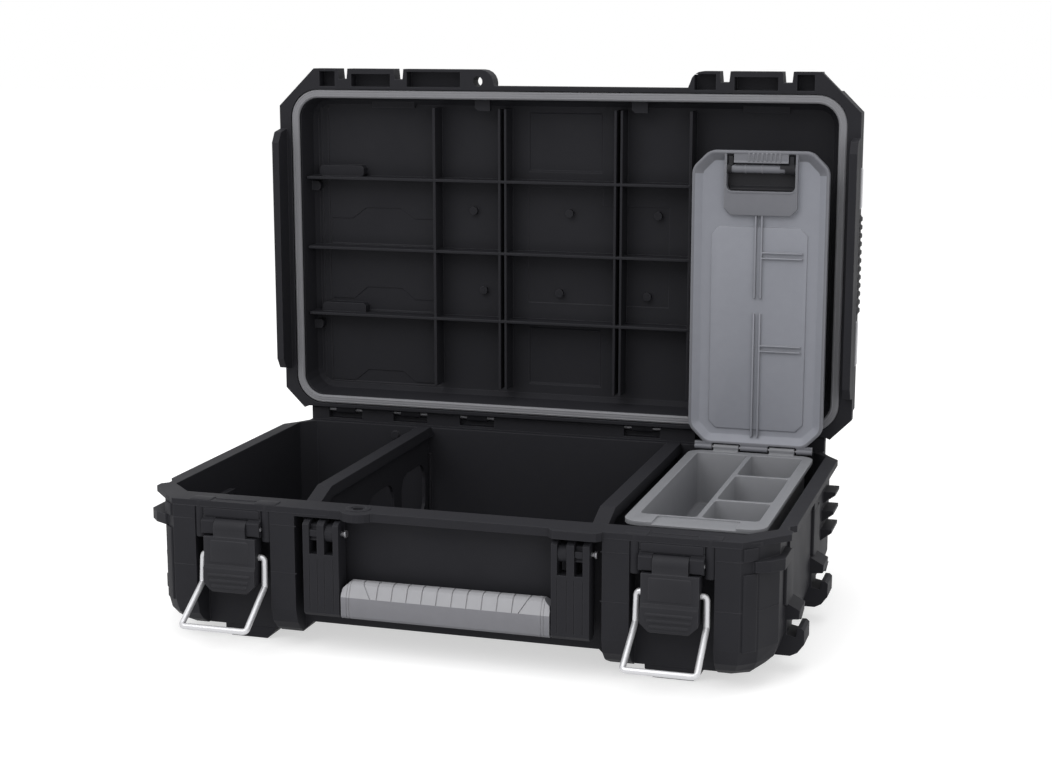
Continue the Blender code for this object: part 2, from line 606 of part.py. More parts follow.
def lid_reliefs(lid):
    """Sunk panels in the cells of the lid's rib grid."""
    shape = Shape()
    for s in ((33.0, 90.0), (240.5, 297.5)):
        low = chamfered_rect((-36.5, 36.5), s, 0.5)
        deep = chamfered_rect((-34.7, 34.7), (s[0] + 1.8, s[1] - 1.8), 0.5)
        shape.lid_loft(((low, LID_FLOOR - 0.5), (low, LID_FLOOR), (deep, LID_FLOOR + PANEL_DEEP)))
    field = [(-37.0, 114.0), (102.0, 114.0), (102.0, 209.5), (37.0, 209.5), (37.0, 226.0), (-37.0, 226.0)]
    shape.lid_prism(field, LID_FLOOR - 1.0, LID_FLOOR + PANEL_SHALLOW)
    for foot, low, high in ((26.0, 27.0, 38.5), (99.5, 110.4, 122.3), (165.5, 190.7, 201.6)):
        steps = [(-242.0, foot), (-128.5, foot), (-128.5, low + 1.0), (-154.5, low + 1.0), (-168.0, high),
                 (-205.0, high), (-219.5, low), (-242.0, low)]
        shape.lid_prism(steps, LID_FLOOR - 1.0, LID_FLOOR + PANEL_SHALLOW)
    cut(lid, shape, "reliefs")


def side_seats(shape, sign):
    """Shallow seats for the tread pad and the edge strips of one side."""
    depth = span(sign, DOME_X - 1.8, DOME_X + 4.0)
    for s in (TREAD_S, *STRIP_S):
        t = TREAD_T if s is TREAD_S else STRIP_T
        shape.lid_box(depth, (s[0] - GAP, s[1] + GAP), (t[0] - GAP, t[1] + GAP))


TREAD_S = (114.0, 207.0)
TREAD_T = (12.0, 36.0)
STRIP_S = ((66.0, 108.0), (213.0, 250.0))
STRIP_T = (25.0, 34.0)


def lid_inside(lid):
    """Grid of ribs, pegs, hooks and bosses under the lid's top."""
    shape = Shape()
    deep = LID_FLOOR + EMBED
    for x, half in ((-CELL_X, 1.2), (-60.0, 1.0), (-54.0, 1.0), (54.0, 1.0), (60.0, 1.0), (CELL_X, 1.2)):
        shape.lid_box((x - half, x + half), (30.0, GASKET_S[1] - 13.0), (RIB_EDGE, deep))
    for s in (96.8, 162.8, 231.8):
        shape.lid_box((-GASKET_X + 8.0, CELL_X), (s - 1.2, s + 1.2), (RIB_EDGE - 0.2, deep + 0.1))
    for x, s in ((-91.8, 201.8), (4.8, 201.8), (91.9, 201.8), (-82.0, 124.3), (-5.0, 124.3), (82.0, 124.3)):
        shape.rod("y", (x, HINGE_Z + s), 4.0, HINGE_Y + 15.8, HINGE_Y + deep - 0.2)
    for x in (-77.0, 77.0):
        hook = [(x - 8.0, GASKET_S[1]), (x - 8.0, GASKET_S[1] - 12.0), (x - 5.0, GASKET_S[1] - 15.0),
                (x + 7.0, GASKET_S[1] - 15.0), (x + 7.0, GASKET_S[1])]
        shape.lid_prism(hook, 1.0, 6.0)
    for s in (101.5, 238.0):
        boss = chamfered_rect((-GASKET_X + 17.5, -GASKET_X + 63.5), (s - 5.5, s + 5.5), 2.5)
        shape.lid_prism(boss, 9.0, deep - 0.1)
    for x in (-GASKET_X + 15.5, -GASKET_X + 22.3):
        shape.lid_box((x - 0.8, x + 0.8), (28.0, GASKET_S[1] - 14.0), (LID_FLOOR - 1.0, deep - 0.3))
    for s in (84.4, 222.6):
        nub = chamfered_rect((-GASKET_X + 3.0, -GASKET_X + 16.5), (s - 4.5, s + 4.5), 2.0)
        shape.lid_prism(nub, 11.0, deep - 0.4)
    for x in ((-196.0, -152.0), (171.0, 214.0)):
        shape.lid_box(x, (GASKET_S[1] - 14.0, GASKET_S[1] - 7.5), (LID_FLOOR - 3.0, deep - 0.5))
    add(lid, shape, "inside")


def lid_shell():
    """The lid: one moulding, standing open at a right angle."""
    def ring(inset):
        outer = DOME_X - inset
        return chamfered_rect((-outer, outer), (5.0 + inset, DOME_FRONT - inset), 19.0)
    shape = Shape()
    shape.lid_loft(((ring(0.0), FLANGE_FACE + 3.0), (ring(0.0), LID_TOP - 9.0), (ring(8.0), LID_TOP)))
    lid = shape.build("lid_shell", (0.0, HINGE_Y, HINGE_Z))
    lid_outside(lid)
    lid_hollow(lid)
    lid_inside(lid)
    bores = Shape()
    for sign in (-1, 1):
        bores.rod("x", (HINGE_Y, HINGE_Z), BORE_R, *span(sign, HINGE_PIN_START - 3.0, WALL_X + 5.0))
    cut(lid, bores, "bores")
    return finish(lid, make_material("lid_black_plastic", BLACK, 0.48, 0.0))


def lid_gasket():
    """Bead pressed into the seat round the lid's edge."""
    path = rounded_rect((-GASKET_X, GASKET_X), GASKET_S, GASKET_R, 6)
    middle_s = sum(GASKET_S) / 2
    rings = []
    for x, s in path:
        cx = math.copysign(GASKET_X - GASKET_R, x)
        cs = middle_s + math.copysign(GASKET_S[1] - middle_s - GASKET_R, s - middle_s)
        nx, ns = x - cx, s - cs
        length = math.hypot(nx, ns)
        ring = []
        for across, t in ((-4.0, SEAT - GAP), (-4.0, -8.0), (-2.6, -9.6), (0.0, -10.1),
                          (2.6, -9.6), (4.0, -8.0), (4.0, SEAT - GAP)):
            ring.append((x + nx / length * across, HINGE_Y + t, HINGE_Z + s + ns / length * across))
        rings.append(ring)
    shape = Shape()
    shape.ring_loft(rings)
    gasket = shape.build("lid_gasket", (0.0, HINGE_Y, HINGE_Z))
    return finish(gasket, make_material("gasket_grey_rubber", GASKET_GREY, 0.55, 0.0))


def side_trim():
    """Tread pads and light edge strips on both sides of the lid."""
    for sign, word in ((-1, "left"), (1, "right")):
        inner = DOME_X - 1.8 + GAP
        ridges = 12
        pitch = (TREAD_S[1] - TREAD_S[0]) / ridges
        outline = [(inner, TREAD_S[0])]
        for index in range(ridges):
            start = TREAD_S[0] + index * pitch
            outline += [(DOME_X + 0.4, start), (DOME_X + 1.8, start + pitch * 0.3),
                        (DOME_X + 1.8, start + pitch * 0.7)]
        outline += [(DOME_X + 0.4, TREAD_S[1]), (inner, TREAD_S[1])]
        pad = Shape()
        pad.lid_prism([(sign * x, s) for x, s in outline], *TREAD_T)
        item = pad.build(f"lid_tread_pad_{word}", (0.0, HINGE_Y, HINGE_Z))
        finish(item, make_material(f"tread_black_rubber_{word}", BLACK, 0.7, 0.0), smooth=False)
        for place, s in zip(("rear", "front"), STRIP_S):
            outline = [(inner, s[0]), (DOME_X + 0.5, s[0]), (DOME_X + 1.0, s[0] + 1.5),
                       (DOME_X + 1.0, s[1] - 1.5), (DOME_X + 0.5, s[1]), (inner, s[1])]
            strip = Shape()
            strip.lid_prism([(sign * x, along) for x, along in outline], *STRIP_T)
            item = strip.build(f"lid_edge_strip_{place}_{word}", (0.0, HINGE_Y, HINGE_Z))
            finish(item, make_material(f"strip_grey_{place}_{word}", STRIP_GREY, 0.4, 0.0), smooth=False)


# Pins

def turned_pin(name, start, stop, centre, head=0.0, radius=PIN_R):
    """Steel pin along X, with a flat head at its right end where one is asked for."""
    shape = Shape()
    sections = [(start, radius - 0.4), (start + 0.6, radius), (stop - 1.6 if head else stop - 0.6, radius)]
    if head:
        sections += [(stop - 1.6, head), (stop, head)]
    else:
        sections += [(stop, radius - 0.4)]
    rings = []
    for x, size in sections:
        rings.append([(x, y, z) for y, z in arc(centre, size, 15, 375, 12)[:-1]])
    shape.loft(rings)
    pin = shape.build(name, (start, *centre))
    return finish(pin, make_material(f"{name}_steel", STEEL, 0.3, 1.0))


def pins():
    """Hinge, latch and handle pins of the base."""
    for sign, word in ((-1, "left"), (1, "right")):
        turned_pin(f"hinge_pin_{word}", *span(sign, HINGE_PIN_START, WALL_X - 3.0), (HINGE_Y, HINGE_Z))
        centre = sign * LATCH_X
        turned_pin(f"latch_pin_{word}", centre - EAR_HALF + 0.5, centre + EAR_HALF + 0.3,
                   (LEVER_PIVOT_Y, LEVER_PIVOT_Z))
        arm = span(sign, ARM_IN, ARM_OUT)
        turned_pin(f"handle_pin_{word}", arm[0] + 0.8, arm[1] + 4.5, (HANDLE_Y, HANDLE_Z), head=3.2)


# Latches

def latch_lever(sign, word):
    """Toggle lever: a knuckle tab between the ears, a broad body and a ribbed grip."""
    centre = sign * LATCH_X
    face = LEVER_PIVOT_Y - LEVER_FRONT
    back = LEVER_PIVOT_Y + LEVER_BACK
    shoulder = LEVER_PIVOT_Z - 7.3
    bottom = LEVER_PIVOT_Z - LEVER_LENGTH
    front_view = [
        (centre - LEVER_HALF, shoulder), (centre - LEVER_HALF, bottom + 7.5),
        (centre - LEVER_HALF + 8.0, bottom), (centre + LEVER_HALF - 8.0, bottom),
        (centre + LEVER_HALF, bottom + 7.5), (centre + LEVER_HALF, shoulder),
    ]
    shape = Shape()
    shape.prism("y", front_view, face - 2.4, back)
    lever = shape.build(f"latch_lever_{word}", (centre, LEVER_PIVOT_Y, LEVER_PIVOT_Z))
    grip_top = bottom + 20.0
    side_view = [(face, shoulder + 2.0), (face, grip_top + 3.0), (face - 2.4, grip_top)]
    ridge = 0.7
    pitch = (grip_top - bottom - 5.0) / 4
    for index in range(4):
        z = grip_top - (index + 0.4) * pitch
        side_view += [(face - 2.4, z), (face - 2.4 + ridge, z - 0.8), (face - 2.4, z - 1.6)]
    side_view += [(face - 2.4, bottom + 4.0), (face + 0.6, bottom - 1.0), (face - 9.0, bottom - 1.0),
                  (face - 9.0, shoulder + 2.0)]
    front_cut = Shape()
    front_cut.prism("x", side_view, centre - LEVER_HALF - 2.0, centre + LEVER_HALF + 2.0)
    for side in (-1, 1):
        line = centre + side * (LEVER_HALF - 6.2)
        front_cut.box((line - 0.4, line + 0.4), (face - 1.0, face + 0.6), (grip_top + 7.0, shoulder - 3.0))
    cut(lever, front_cut, "face")
    tab = Shape()
    tab.rod("x", (LEVER_PIVOT_Y, LEVER_PIVOT_Z), LEVER_FRONT - 0.02, centre - TAB_HALF, centre + TAB_HALF, 24)
    tab.box((centre - TAB_HALF + 0.05, centre + TAB_HALF - 0.05), (face + 0.3, back - 0.4),
            (shoulder - 3.0, LEVER_PIVOT_Z))
    add(lever, tab, "tab")
    bores = Shape()
    bores.rod("x", (LEVER_PIVOT_Y, LEVER_PIVOT_Z), BORE_R, centre - 30.0, centre + 30.0)
    for side in (-1, 1):
        ends = sorted((centre + side * (LEVER_HALF - 6.5), centre + side * (LEVER_HALF + 3.0)))
        bores.rod("x", bail_pivot(), WIRE_R + 0.4, *ends)
    cut(lever, bores, "bores")
    return finish(lever, make_material(f"lever_black_plastic_{word}", BLACK, 0.42, 0.0))


def bail_pivot():
    """Place of the bail's pivot, seen from the side."""
    return LEVER_PIVOT_Y + BAIL_PIVOT_BACK, LEVER_PIVOT_Z - BAIL_PIVOT_DROP


def rounded_path(points, radius, steps):
    """A polyline whose inner corners are replaced by arcs of one radius."""
    path = [points[0]]
    for before, corner, after in zip(points, points[1:], points[2:]):
        first = [a - b for a, b in zip(before, corner)]
        second = [a - b for a, b in zip(after, corner)]
        one = math.dist(before, corner)
        two = math.dist(after, corner)
        cosine = sum(a * b for a, b in zip(first, second)) / one / two
        half = math.acos(max(-1.0, min(1.0, cosine))) / 2
        reach = min(radius / math.tan(half), 0.45 * one, 0.45 * two)
        start = [c + a / one * reach for c, a in zip(corner, first)]
        stop = [c + b / two * reach for c, b in zip(corner, second)]
        for step in range(steps + 1):
            u = step / steps
            path.append(tuple((1 - u) ** 2 * a + 2 * u * (1 - u) * c + u * u * b
                              for a, c, b in zip(start, corner, stop)))
    path.append(points[-1])
    return path


def latch_bail(sign, word):
    """Wire bail: two turned-in ends, two cranked arms and the bar that hooks the lid."""
    centre = sign * LATCH_X
    pivot = bail_pivot()
    kink = (pivot[0] - 1.8, pivot[1] - 24.4)
    bar = (pivot[0] - 42.0, pivot[1] - 51.0)
    half_path = [(LEVER_HALF - 5.0, *pivot), (BAIL_HALF, *pivot), (BAIL_HALF + BAIL_SPLAY / 3, *kink),
                 (BAIL_HALF + BAIL_SPLAY, *bar)]
    points = [(centre + x, y, z) for x, y, z in half_path]
    points += [(centre - x, y, z) for x, y, z in reversed(half_path)]
    path = rounded_path(points, WIRE_R + 0.9, 4)
    curve = bpy.data.curves.new(f"latch_bail_{word}", "CURVE")
    curve.dimensions = "3D"
    curve.bevel_depth = WIRE_R * MM
    curve.bevel_resolution = 2
    curve.use_fill_caps = True
    spline = curve.splines.new("POLY")
    spline.points.add(len(path) - 1)
    for point, place in zip(spline.points, path):
        local = (place[0] - centre, place[1] - pivot[0], place[2] - pivot[1])
        point.co = (*(value * MM for value in local), 1.0)
    bail = bpy.data.objects.new(f"latch_bail_{word}", curve)
    bail.location = (centre * MM, pivot[0] * MM, pivot[1] * MM)
    bpy.context.scene.collection.objects.link(bail)
    curve.materials.append(make_material(f"bail_zinc_wire_{word}", STEEL, 0.35, 1.0))
    return bail


# Handle

def handle_frame():
    """Two slotted arms joined by the bar that the grip is fitted on."""
    face = HANDLE_Y - HANDLE_FRONT
    back = HANDLE_Y + HANDLE_FRONT
    bottom = HANDLE_Z - HANDLE_DROP
    radius = 11.2
    lean = math.degrees(math.acos(HANDLE_FRONT / radius))
    side_view = [(back, bottom + 2.0), (back - 2.0, bottom), (face + 3.0, bottom), (face, bottom + 3.0)]
    side_view += reversed(arc((HANDLE_Y, HANDLE_Z), radius, lean, 180 - lean, 8))
    shape = Shape()
    shape.prism("x", side_view, -ARM_OUT, ARM_OUT)
    frame = shape.build("handle_frame", (0.0, HANDLE_Y, HANDLE_Z))
    room = Shape()
    bar = GRIP_BAR
    room.box((-ARM_IN, ARM_IN), (face - 5.0, back + 5.0), (bar[1][1], HANDLE_Z + 20.0))
    room.box((-ARM_IN, ARM_IN), (face - 5.0, back + 5.0), (bottom - 5.0, bar[1][0]))
    room.box((-ARM_IN, ARM_IN), (face - 5.0, bar[0][0]), (bottom - 4.0, HANDLE_Z + 19.0))
    room.box((-ARM_IN, ARM_IN), (bar[0][1], back + 6.0), (bottom - 4.0, HANDLE_Z + 19.0))
    for sign in (-1, 1):
        for low, high in SLOTS:
            room.box(span(sign, ARM_IN + low, ARM_IN + high), (face - 5.0, back + 5.0),
                     (HANDLE_Z - 17.0, HANDLE_Z + 20.0))
            for x in (ARM_IN + low, ARM_IN + high):
                room.box(span(sign, x - 0.35, x + 0.35), (face - 5.0, face + 0.5), (bottom + 5.0, HANDLE_Z - 20.5))
        room.rod("x", (HANDLE_Y, HANDLE_Z), BORE_R, *span(sign, ARM_IN - 5.0, ARM_OUT + 5.0))
    cut(frame, room, "room")
    return finish(frame, make_material("handle_black_plastic", BLACK, 0.45, 0.0))


GRIP_BAR = ((HANDLE_Y - 3.5, HANDLE_Y + 6.5), (HANDLE_Z - 64.5, HANDLE_Z - 46.0))
GRIP_HALF = ARM_IN - 1.4
GRIP_TOP = HANDLE_Z - 39.5
SEGMENTS = 11


def handle_grip():
    """Soft sleeve round the handle's bar, with a bevelled, segmented upper face."""
    face = HANDLE_Y - HANDLE_FRONT
    back = HANDLE_Y + HANDLE_FRONT + 2.5
    bottom = HANDLE_Z - HANDLE_DROP
    side_view = [
        (back, bottom + 2.5), (back - 2.5, bottom), (face + 2.0, bottom), (face, bottom + 2.0),
        (face, HANDLE_Z - 51.5), (face + 4.5, GRIP_TOP - 2.0), (face + 8.0, GRIP_TOP),
        (back - 4.0, GRIP_TOP), (back, GRIP_TOP - 5.0),
    ]
    shape = Shape()
    shape.prism("x", side_view, -GRIP_HALF, GRIP_HALF)
    grip = shape.build("handle_grip", (0.0, HANDLE_Y, HANDLE_Z))
    room = Shape()
    (y0, y1), (z0, z1) = GRIP_BAR
    room.box((-GRIP_HALF - 5.0, GRIP_HALF + 5.0), (y0 - GAP, y1 + GAP), (z0 - GAP, z1 + GAP))
    groove = [(face - 2.0, HANDLE_Z - 52.5), (face + 0.5, HANDLE_Z - 52.0), (face + 5.4, GRIP_TOP - 2.6),
              (face + 8.2, GRIP_TOP - 0.9), (back - 5.0, GRIP_TOP - 0.9), (back - 3.0, GRIP_TOP + 3.0),
              (face - 2.0, GRIP_TOP + 3.0)]
    pitch = 2 * (GRIP_HALF - 16.0) / SEGMENTS
    for index in range(SEGMENTS + 1):
        x = -GRIP_HALF + 16.0 + index * pitch
        room.prism("x", groove, x - 0.6, x + 0.6)
    cut(grip, room, "room")
    return finish(grip, make_material("grip_grey_rubber", GRIP_GREY, 0.6, 0.0), smooth=False)


# Dividers

def divider(x, word):
    """Lift-out panel with a wide top band that slopes down at the front."""
    front = CAVITY_FRONT + 0.8
    back = CAVITY_BACK - 0.8
    panel = [(back, BAND_TOP - 8.0), (front + 42.0, BAND_TOP - 8.0), (front, BAND_TOP - 22.0),
             (front, FLOOR_Z + GAP), (back - 14.0, FLOOR_Z + GAP), (back, FLOOR_Z + 14.0)]
    shape = Shape()
    shape.prism("x", panel, x - 1.5, x + 1.5)
    item = shape.build(f"divider_{word}", (x, 0.0, FLOOR_Z))
    half = BAND_W / 2
    band = Shape()
    dip = 8.0                   # run of the slope that passes under the gasket
    top = [(back, BAND_TOP - 6.0), (back - dip, BAND_TOP), (front + 41.0, BAND_TOP), (front, BAND_TOP - 14.0),
           (front, BAND_TOP - 24.0), (front + 43.0, BAND_TOP - 10.0), (back, BAND_TOP - 10.0)]
    band.prism("x", top, x - half, x + half)
    add(item, band, "band")
    room = Shape()
    end = back - dip - 1.0
    hollow = [(end, BAND_TOP - 3.0), (front + 40.5, BAND_TOP - 3.0), (front - 2.0, BAND_TOP - 17.6),
              (front - 2.0, BAND_TOP - 30.0), (front + 44.0, BAND_TOP - 12.0), (end, BAND_TOP - 12.0)]
    for side in (-1, 1):
        ends = sorted((x + side * 1.5, x + side * (half - 2.2)))
        room.prism("x", hollow, *ends)
    for y in (-96.0, -10.0, 76.0):
        window = rounded_rect((y, y + 66.0), (FLOOR_Z + 16.0, FLOOR_Z + 68.0), 16.0, 4)
        room.prism("x", window, x - 8.0, x + 8.0)
    cut(item, room, "room")
    return finish(item, make_material(f"divider_black_plastic_{word}", BLACK, 0.5, 0.0))


# Organizer

def from_bin(*offsets):
    """Places across the organizer, measured from the bin's left edge."""
    return tuple(BIN_X[0] + offset for offset in offsets)


COVER_KNUCKLES = (from_bin(3.5, 19.5), from_bin(46.5, 71.5), from_bin(98.5, 112.5))
BIN_KNUCKLES = (from_bin(21.5, 44.5), from_bin(73.5, 96.5))
PIN_BORE_END = BIN_X[0] + 105.5
COVER_KNUCKLE_R = 2.7
ROD_Z = COVER_HINGE_Z + COVER_LENGTH - 16.4
ROD_Y = COVER_HINGE_Y + 2.5
WINDOW_X = from_bin(28.5, 91.0)
LATCH_R = 5.0


def organizer_bin():
    """Small-parts bin: one long compartment and three short ones under a broad rim."""
    shape = Shape()
    bottom = BIN_TOP - BIN_DEPTH
    inner_x = (BIN_X[0] + 9.0, BIN_X[1] - 9.0)
    inner_y = (BIN_Y[0] + 25.0, BIN_Y[1] - 11.0)
    shape.taper((inner_x[0] - 2.4, inner_x[1] + 2.4), (inner_y[0] - 2.4, inner_y[1] + 2.4),
                (bottom, BIN_TOP - 1.0), 1.6, 6.0)
    item = shape.build("organizer_bin", (sum(BIN_X) / 2, 0.0, bottom))
    rim = Shape()
    rim.prism("z", chamfered_rect(BIN_X, BIN_Y, 12.0), BIN_TOP - BIN_PLATE, BIN_TOP)
    for x in BIN_KNUCKLES:
        rim.prism("x", knuckle(90, 270, ((COVER_HINGE_Y - 4.6, BIN_TOP - 1.0), (COVER_HINGE_Y - 4.6, BIN_TOP - 3.5),
                                         (COVER_HINGE_Y + 1.0, BIN_TOP - 3.5))), *x)
    add(item, rim, "rim")
    room = Shape()
    middle = sum(inner_x) / 2
    floor = bottom + 2.6
    room.taper((inner_x[0], middle - 2.0), (-46.0, inner_y[1]), (floor, BIN_TOP + 5.0), 2.0, 6.0)
    room.taper((inner_x[0] + 2.6, middle - 2.1), (inner_y[0], -30.0), (floor + 0.1, BIN_TOP + 5.1), 2.0, 6.0)
    for y in ((inner_y[0], -52.0), (-48.0, 38.5), (42.0, inner_y[1])):
        room.taper((middle + 2.0, inner_x[1]), y, (floor, BIN_TOP + 5.0), 2.0, 5.0)
    room.box(from_bin(24.5, 92.5), (BIN_Y[0] - 4.0, inner_y[0] - 1.6), (BIN_TOP - 2.0, BIN_TOP + 6.0))
    room.rod("x", (COVER_HINGE_Y, COVER_HINGE_Z), 1.55, BIN_X[0] + 12.5, PIN_BORE_END)
    cut(item, room, "room")
    return finish(item, make_material("organizer_grey_plastic", GREY, 0.45, 0.0))


def knuckle(start, stop, feet):
    """Section of an organizer hinge knuckle with the feet that carry it."""
    return arc((COVER_HINGE_Y, COVER_HINGE_Z), COVER_KNUCKLE_R, start - 180, stop - 180, 8) + list(feet)


def organizer_lid():
    """Cover of the bin: a rimmed tray with ribs, a latch window and a round rod across it."""
    top = COVER_HINGE_Z + COVER_LENGTH
    bottom = COVER_HINGE_Z + 3.2
    outline = chamfered_rect(COVER_X, (bottom, top), 16.0)
    shape = Shape()
    shape.prism("y", outline, COVER_FRONT, COVER_BACK)
    item = shape.build("organizer_lid", (sum(COVER_X) / 2, COVER_HINGE_Y, COVER_HINGE_Z))
    tray = Shape()
    rings = []
    for y, inset in ((COVER_FRONT - 2.0, 1.6), (COVER_FRONT, 2.2), (COVER_BACK - 2.6, 9.0)):
        ring = chamfered_rect((COVER_X[0] + inset, COVER_X[1] - inset), (bottom + inset, top - inset),
                              16.0 - inset * 0.4)
        rings.append([(x, y, z) for x, z in ring])
    tray.loft(rings)
    cut(item, tray, "tray")
    organizer_ribs(item, bottom, top)
    room = Shape()
    room.prism("y", chamfered_rect(WINDOW_X, (top - 36.5, top - 11.0), 5.0), COVER_FRONT - 4.0, COVER_BACK + 4.0)
    for x in ((WINDOW_X[0], WINDOW_X[0] + 7.0), (WINDOW_X[1] - 6.7, WINDOW_X[1])):
        room.box(x, (COVER_FRONT - 4.0, COVER_BACK + 4.0), (top - 16.0, top - 2.6))
    room.rod("x", (COVER_HINGE_Y, COVER_HINGE_Z), 1.55, BIN_X[0] - 2.5, PIN_BORE_END)
    for x in BIN_KNUCKLES:
        room.box((x[0] - 1.0, x[1] + 1.0), (COVER_FRONT - 4.0, COVER_BACK + 0.6), (bottom - 9.0, bottom + 0.7))
    cut(item, room, "room")
    rod = Shape()
    rod.rod("x", (ROD_Y, ROD_Z), 3.75, WINDOW_X[0] - 2.0, WINDOW_X[1] + 2.0, 16)
    add(item, rod, "rod")
    return finish(item, make_material("organizer_lid_grey_plastic", GREY, 0.42, 0.0))


def organizer_ribs(item, bottom, top):
    """Raised panel, rib grid, latch plate and hinge knuckles of the cover."""
    shape = Shape()
    floor = COVER_BACK - 2.0
    shape.prism("y", chamfered_rect(from_bin(16.5, 103.5), (bottom + 10.5, top - 69.0), 10.0), floor - 1.4, floor)
    for x in from_bin(55.8, 61.4):
        for z in ((bottom + 8.0, top - 148.0), (top - 134.0, top - 57.0)):
            shape.box((x - 0.9, x + 0.9), (floor - 4.0, floor + 0.2), z)
    for z in (top - 94.5, top - 180.0):
        for offset in (-2.5, 2.5):
            shape.box(from_bin(62.0, 99.5), (floor - 3.6, floor + 0.1), (z + offset - 0.8, z + offset + 0.8))
    low, high = WINDOW_X[0] - 2.0, WINDOW_X[1] + 2.0
    plate = [(low, top - 1.2), (low, top - 53.0), (low + 6.0, top - 58.5), (high - 6.0, top - 58.5),
             (high, top - 53.0), (high, top - 1.2)]
    shape.prism("y", plate, COVER_FRONT + 0.3, COVER_BACK - 0.4)
    for index in range(8):
        x = WINDOW_X[0] + 19.5 + index * 4.0
        shape.box((x, x + 1.8), (COVER_FRONT - 0.5, COVER_FRONT + 1.0), (top - 10.4, top - 1.8))
    feet = ((COVER_HINGE_Y + COVER_KNUCKLE_R, bottom + 1.5), (COVER_HINGE_Y - COVER_KNUCKLE_R + 0.8, bottom + 1.5))
    for x in COVER_KNUCKLES:
        shape.prism("x", knuckle(0, 180, feet), *x)
    add(item, shape, "ribs")


def organizer_latch():
    """Black snap latch that turns on the cover's rod and shows through its window."""
    top = COVER_HINGE_Z + COVER_LENGTH
    shape = Shape()
    shape.box((WINDOW_X[0] + 1.0, WINDOW_X[1] - 1.0), (COVER_BACK + 0.6, COVER_BACK + 3.4),
              (top - 38.0, ROD_Z + 2.0))
    item = shape.build("organizer_latch", (sum(WINDOW_X) / 2, ROD_Y, ROD_Z))
    extra = Shape()
    for x in ((WINDOW_X[0] + 0.6, WINDOW_X[0] + 4.4), (WINDOW_X[1] - 14.0, WINDOW_X[1] - 0.6)):
        extra.rod("x", (ROD_Y, ROD_Z), LATCH_R, *x, 20)
        extra.box((x[0] + 0.1, x[1] - 0.1), (ROD_Y, COVER_BACK + 2.0), (ROD_Z - 5.0, ROD_Z + 2.0))
    for x in ((WINDOW_X[0] + 1.4, WINDOW_X[0] + 5.9), (WINDOW_X[1] - 5.9, WINDOW_X[1] - 1.4)):
        extra.box(x, (COVER_FRONT + 1.5, COVER_BACK + 2.2), (ROD_Z + 0.5, top - 4.6))
    add(item, extra, "arms")
    bore = Shape()
    bore.rod("x", (ROD_Y, ROD_Z), 3.75 + GAP, WINDOW_X[0] - 5.0, WINDOW_X[1] + 5.0, 16)
    cut(item, bore, "bore")
    return finish(item, make_material("organizer_latch_black_plastic", BLACK, 0.4, 0.0))


def organizer():
    """The lift-out bin with its cover, latch and hinge pin."""
    organizer_bin()
    organizer_lid()
    organizer_latch()
    turned_pin("organizer_hinge_pin", BIN_X[0] + 5.5, PIN_BORE_END - 1.0, (COVER_HINGE_Y, COVER_HINGE_Z),
               radius=1.2)


def main():
    """Build the tool box piece by piece."""
    clear_scene()
    base_shell()
    lid_shell()
    lid_gasket()
    side_trim()
    pins()
    for sign, word in ((-1, "left"), (1, "right")):
        latch_lever(sign, word)
        latch_bail(sign, word)
    handle_frame()
    handle_grip()
    for x, word in zip(DIVIDER_X, ("left", "right")):
        divider(x, word)
    organizer()


main()
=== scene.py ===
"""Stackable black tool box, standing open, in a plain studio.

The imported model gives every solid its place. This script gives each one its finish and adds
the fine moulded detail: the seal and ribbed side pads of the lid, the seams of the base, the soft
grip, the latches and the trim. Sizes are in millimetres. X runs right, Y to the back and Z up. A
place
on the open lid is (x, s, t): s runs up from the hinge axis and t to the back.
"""

import json
import logging
import math
from collections.abc import Callable, Iterable, Iterator, Mapping, Sequence
from contextlib import contextmanager
from dataclasses import dataclass
from enum import Enum

import bmesh
import bpy
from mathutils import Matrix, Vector

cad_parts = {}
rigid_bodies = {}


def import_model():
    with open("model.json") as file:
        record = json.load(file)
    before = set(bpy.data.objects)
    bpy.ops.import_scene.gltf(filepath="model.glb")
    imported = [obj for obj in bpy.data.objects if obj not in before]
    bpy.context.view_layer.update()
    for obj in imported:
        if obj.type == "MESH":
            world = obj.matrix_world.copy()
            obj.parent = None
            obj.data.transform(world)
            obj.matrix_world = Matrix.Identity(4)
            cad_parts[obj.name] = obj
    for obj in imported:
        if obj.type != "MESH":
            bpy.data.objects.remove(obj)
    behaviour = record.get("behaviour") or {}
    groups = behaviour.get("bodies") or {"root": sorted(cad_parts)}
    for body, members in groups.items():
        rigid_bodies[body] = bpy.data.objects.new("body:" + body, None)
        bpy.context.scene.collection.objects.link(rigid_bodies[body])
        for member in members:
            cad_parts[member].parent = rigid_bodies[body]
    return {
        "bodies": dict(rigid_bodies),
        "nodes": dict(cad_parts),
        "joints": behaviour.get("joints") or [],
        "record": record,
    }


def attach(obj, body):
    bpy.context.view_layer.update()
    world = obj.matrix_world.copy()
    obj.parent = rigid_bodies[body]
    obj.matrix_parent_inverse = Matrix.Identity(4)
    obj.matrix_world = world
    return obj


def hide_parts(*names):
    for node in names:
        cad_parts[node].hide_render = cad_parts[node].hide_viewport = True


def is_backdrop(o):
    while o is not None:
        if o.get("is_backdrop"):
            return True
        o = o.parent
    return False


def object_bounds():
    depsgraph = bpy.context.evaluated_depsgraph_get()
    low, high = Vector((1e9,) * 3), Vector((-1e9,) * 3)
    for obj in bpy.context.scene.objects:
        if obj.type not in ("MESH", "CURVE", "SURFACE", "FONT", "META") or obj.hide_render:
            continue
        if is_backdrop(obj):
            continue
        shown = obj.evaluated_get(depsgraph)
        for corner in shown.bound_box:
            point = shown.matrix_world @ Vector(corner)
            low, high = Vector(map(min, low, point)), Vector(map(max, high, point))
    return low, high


MM = 0.001
LOG = logging.getLogger("tool_box")

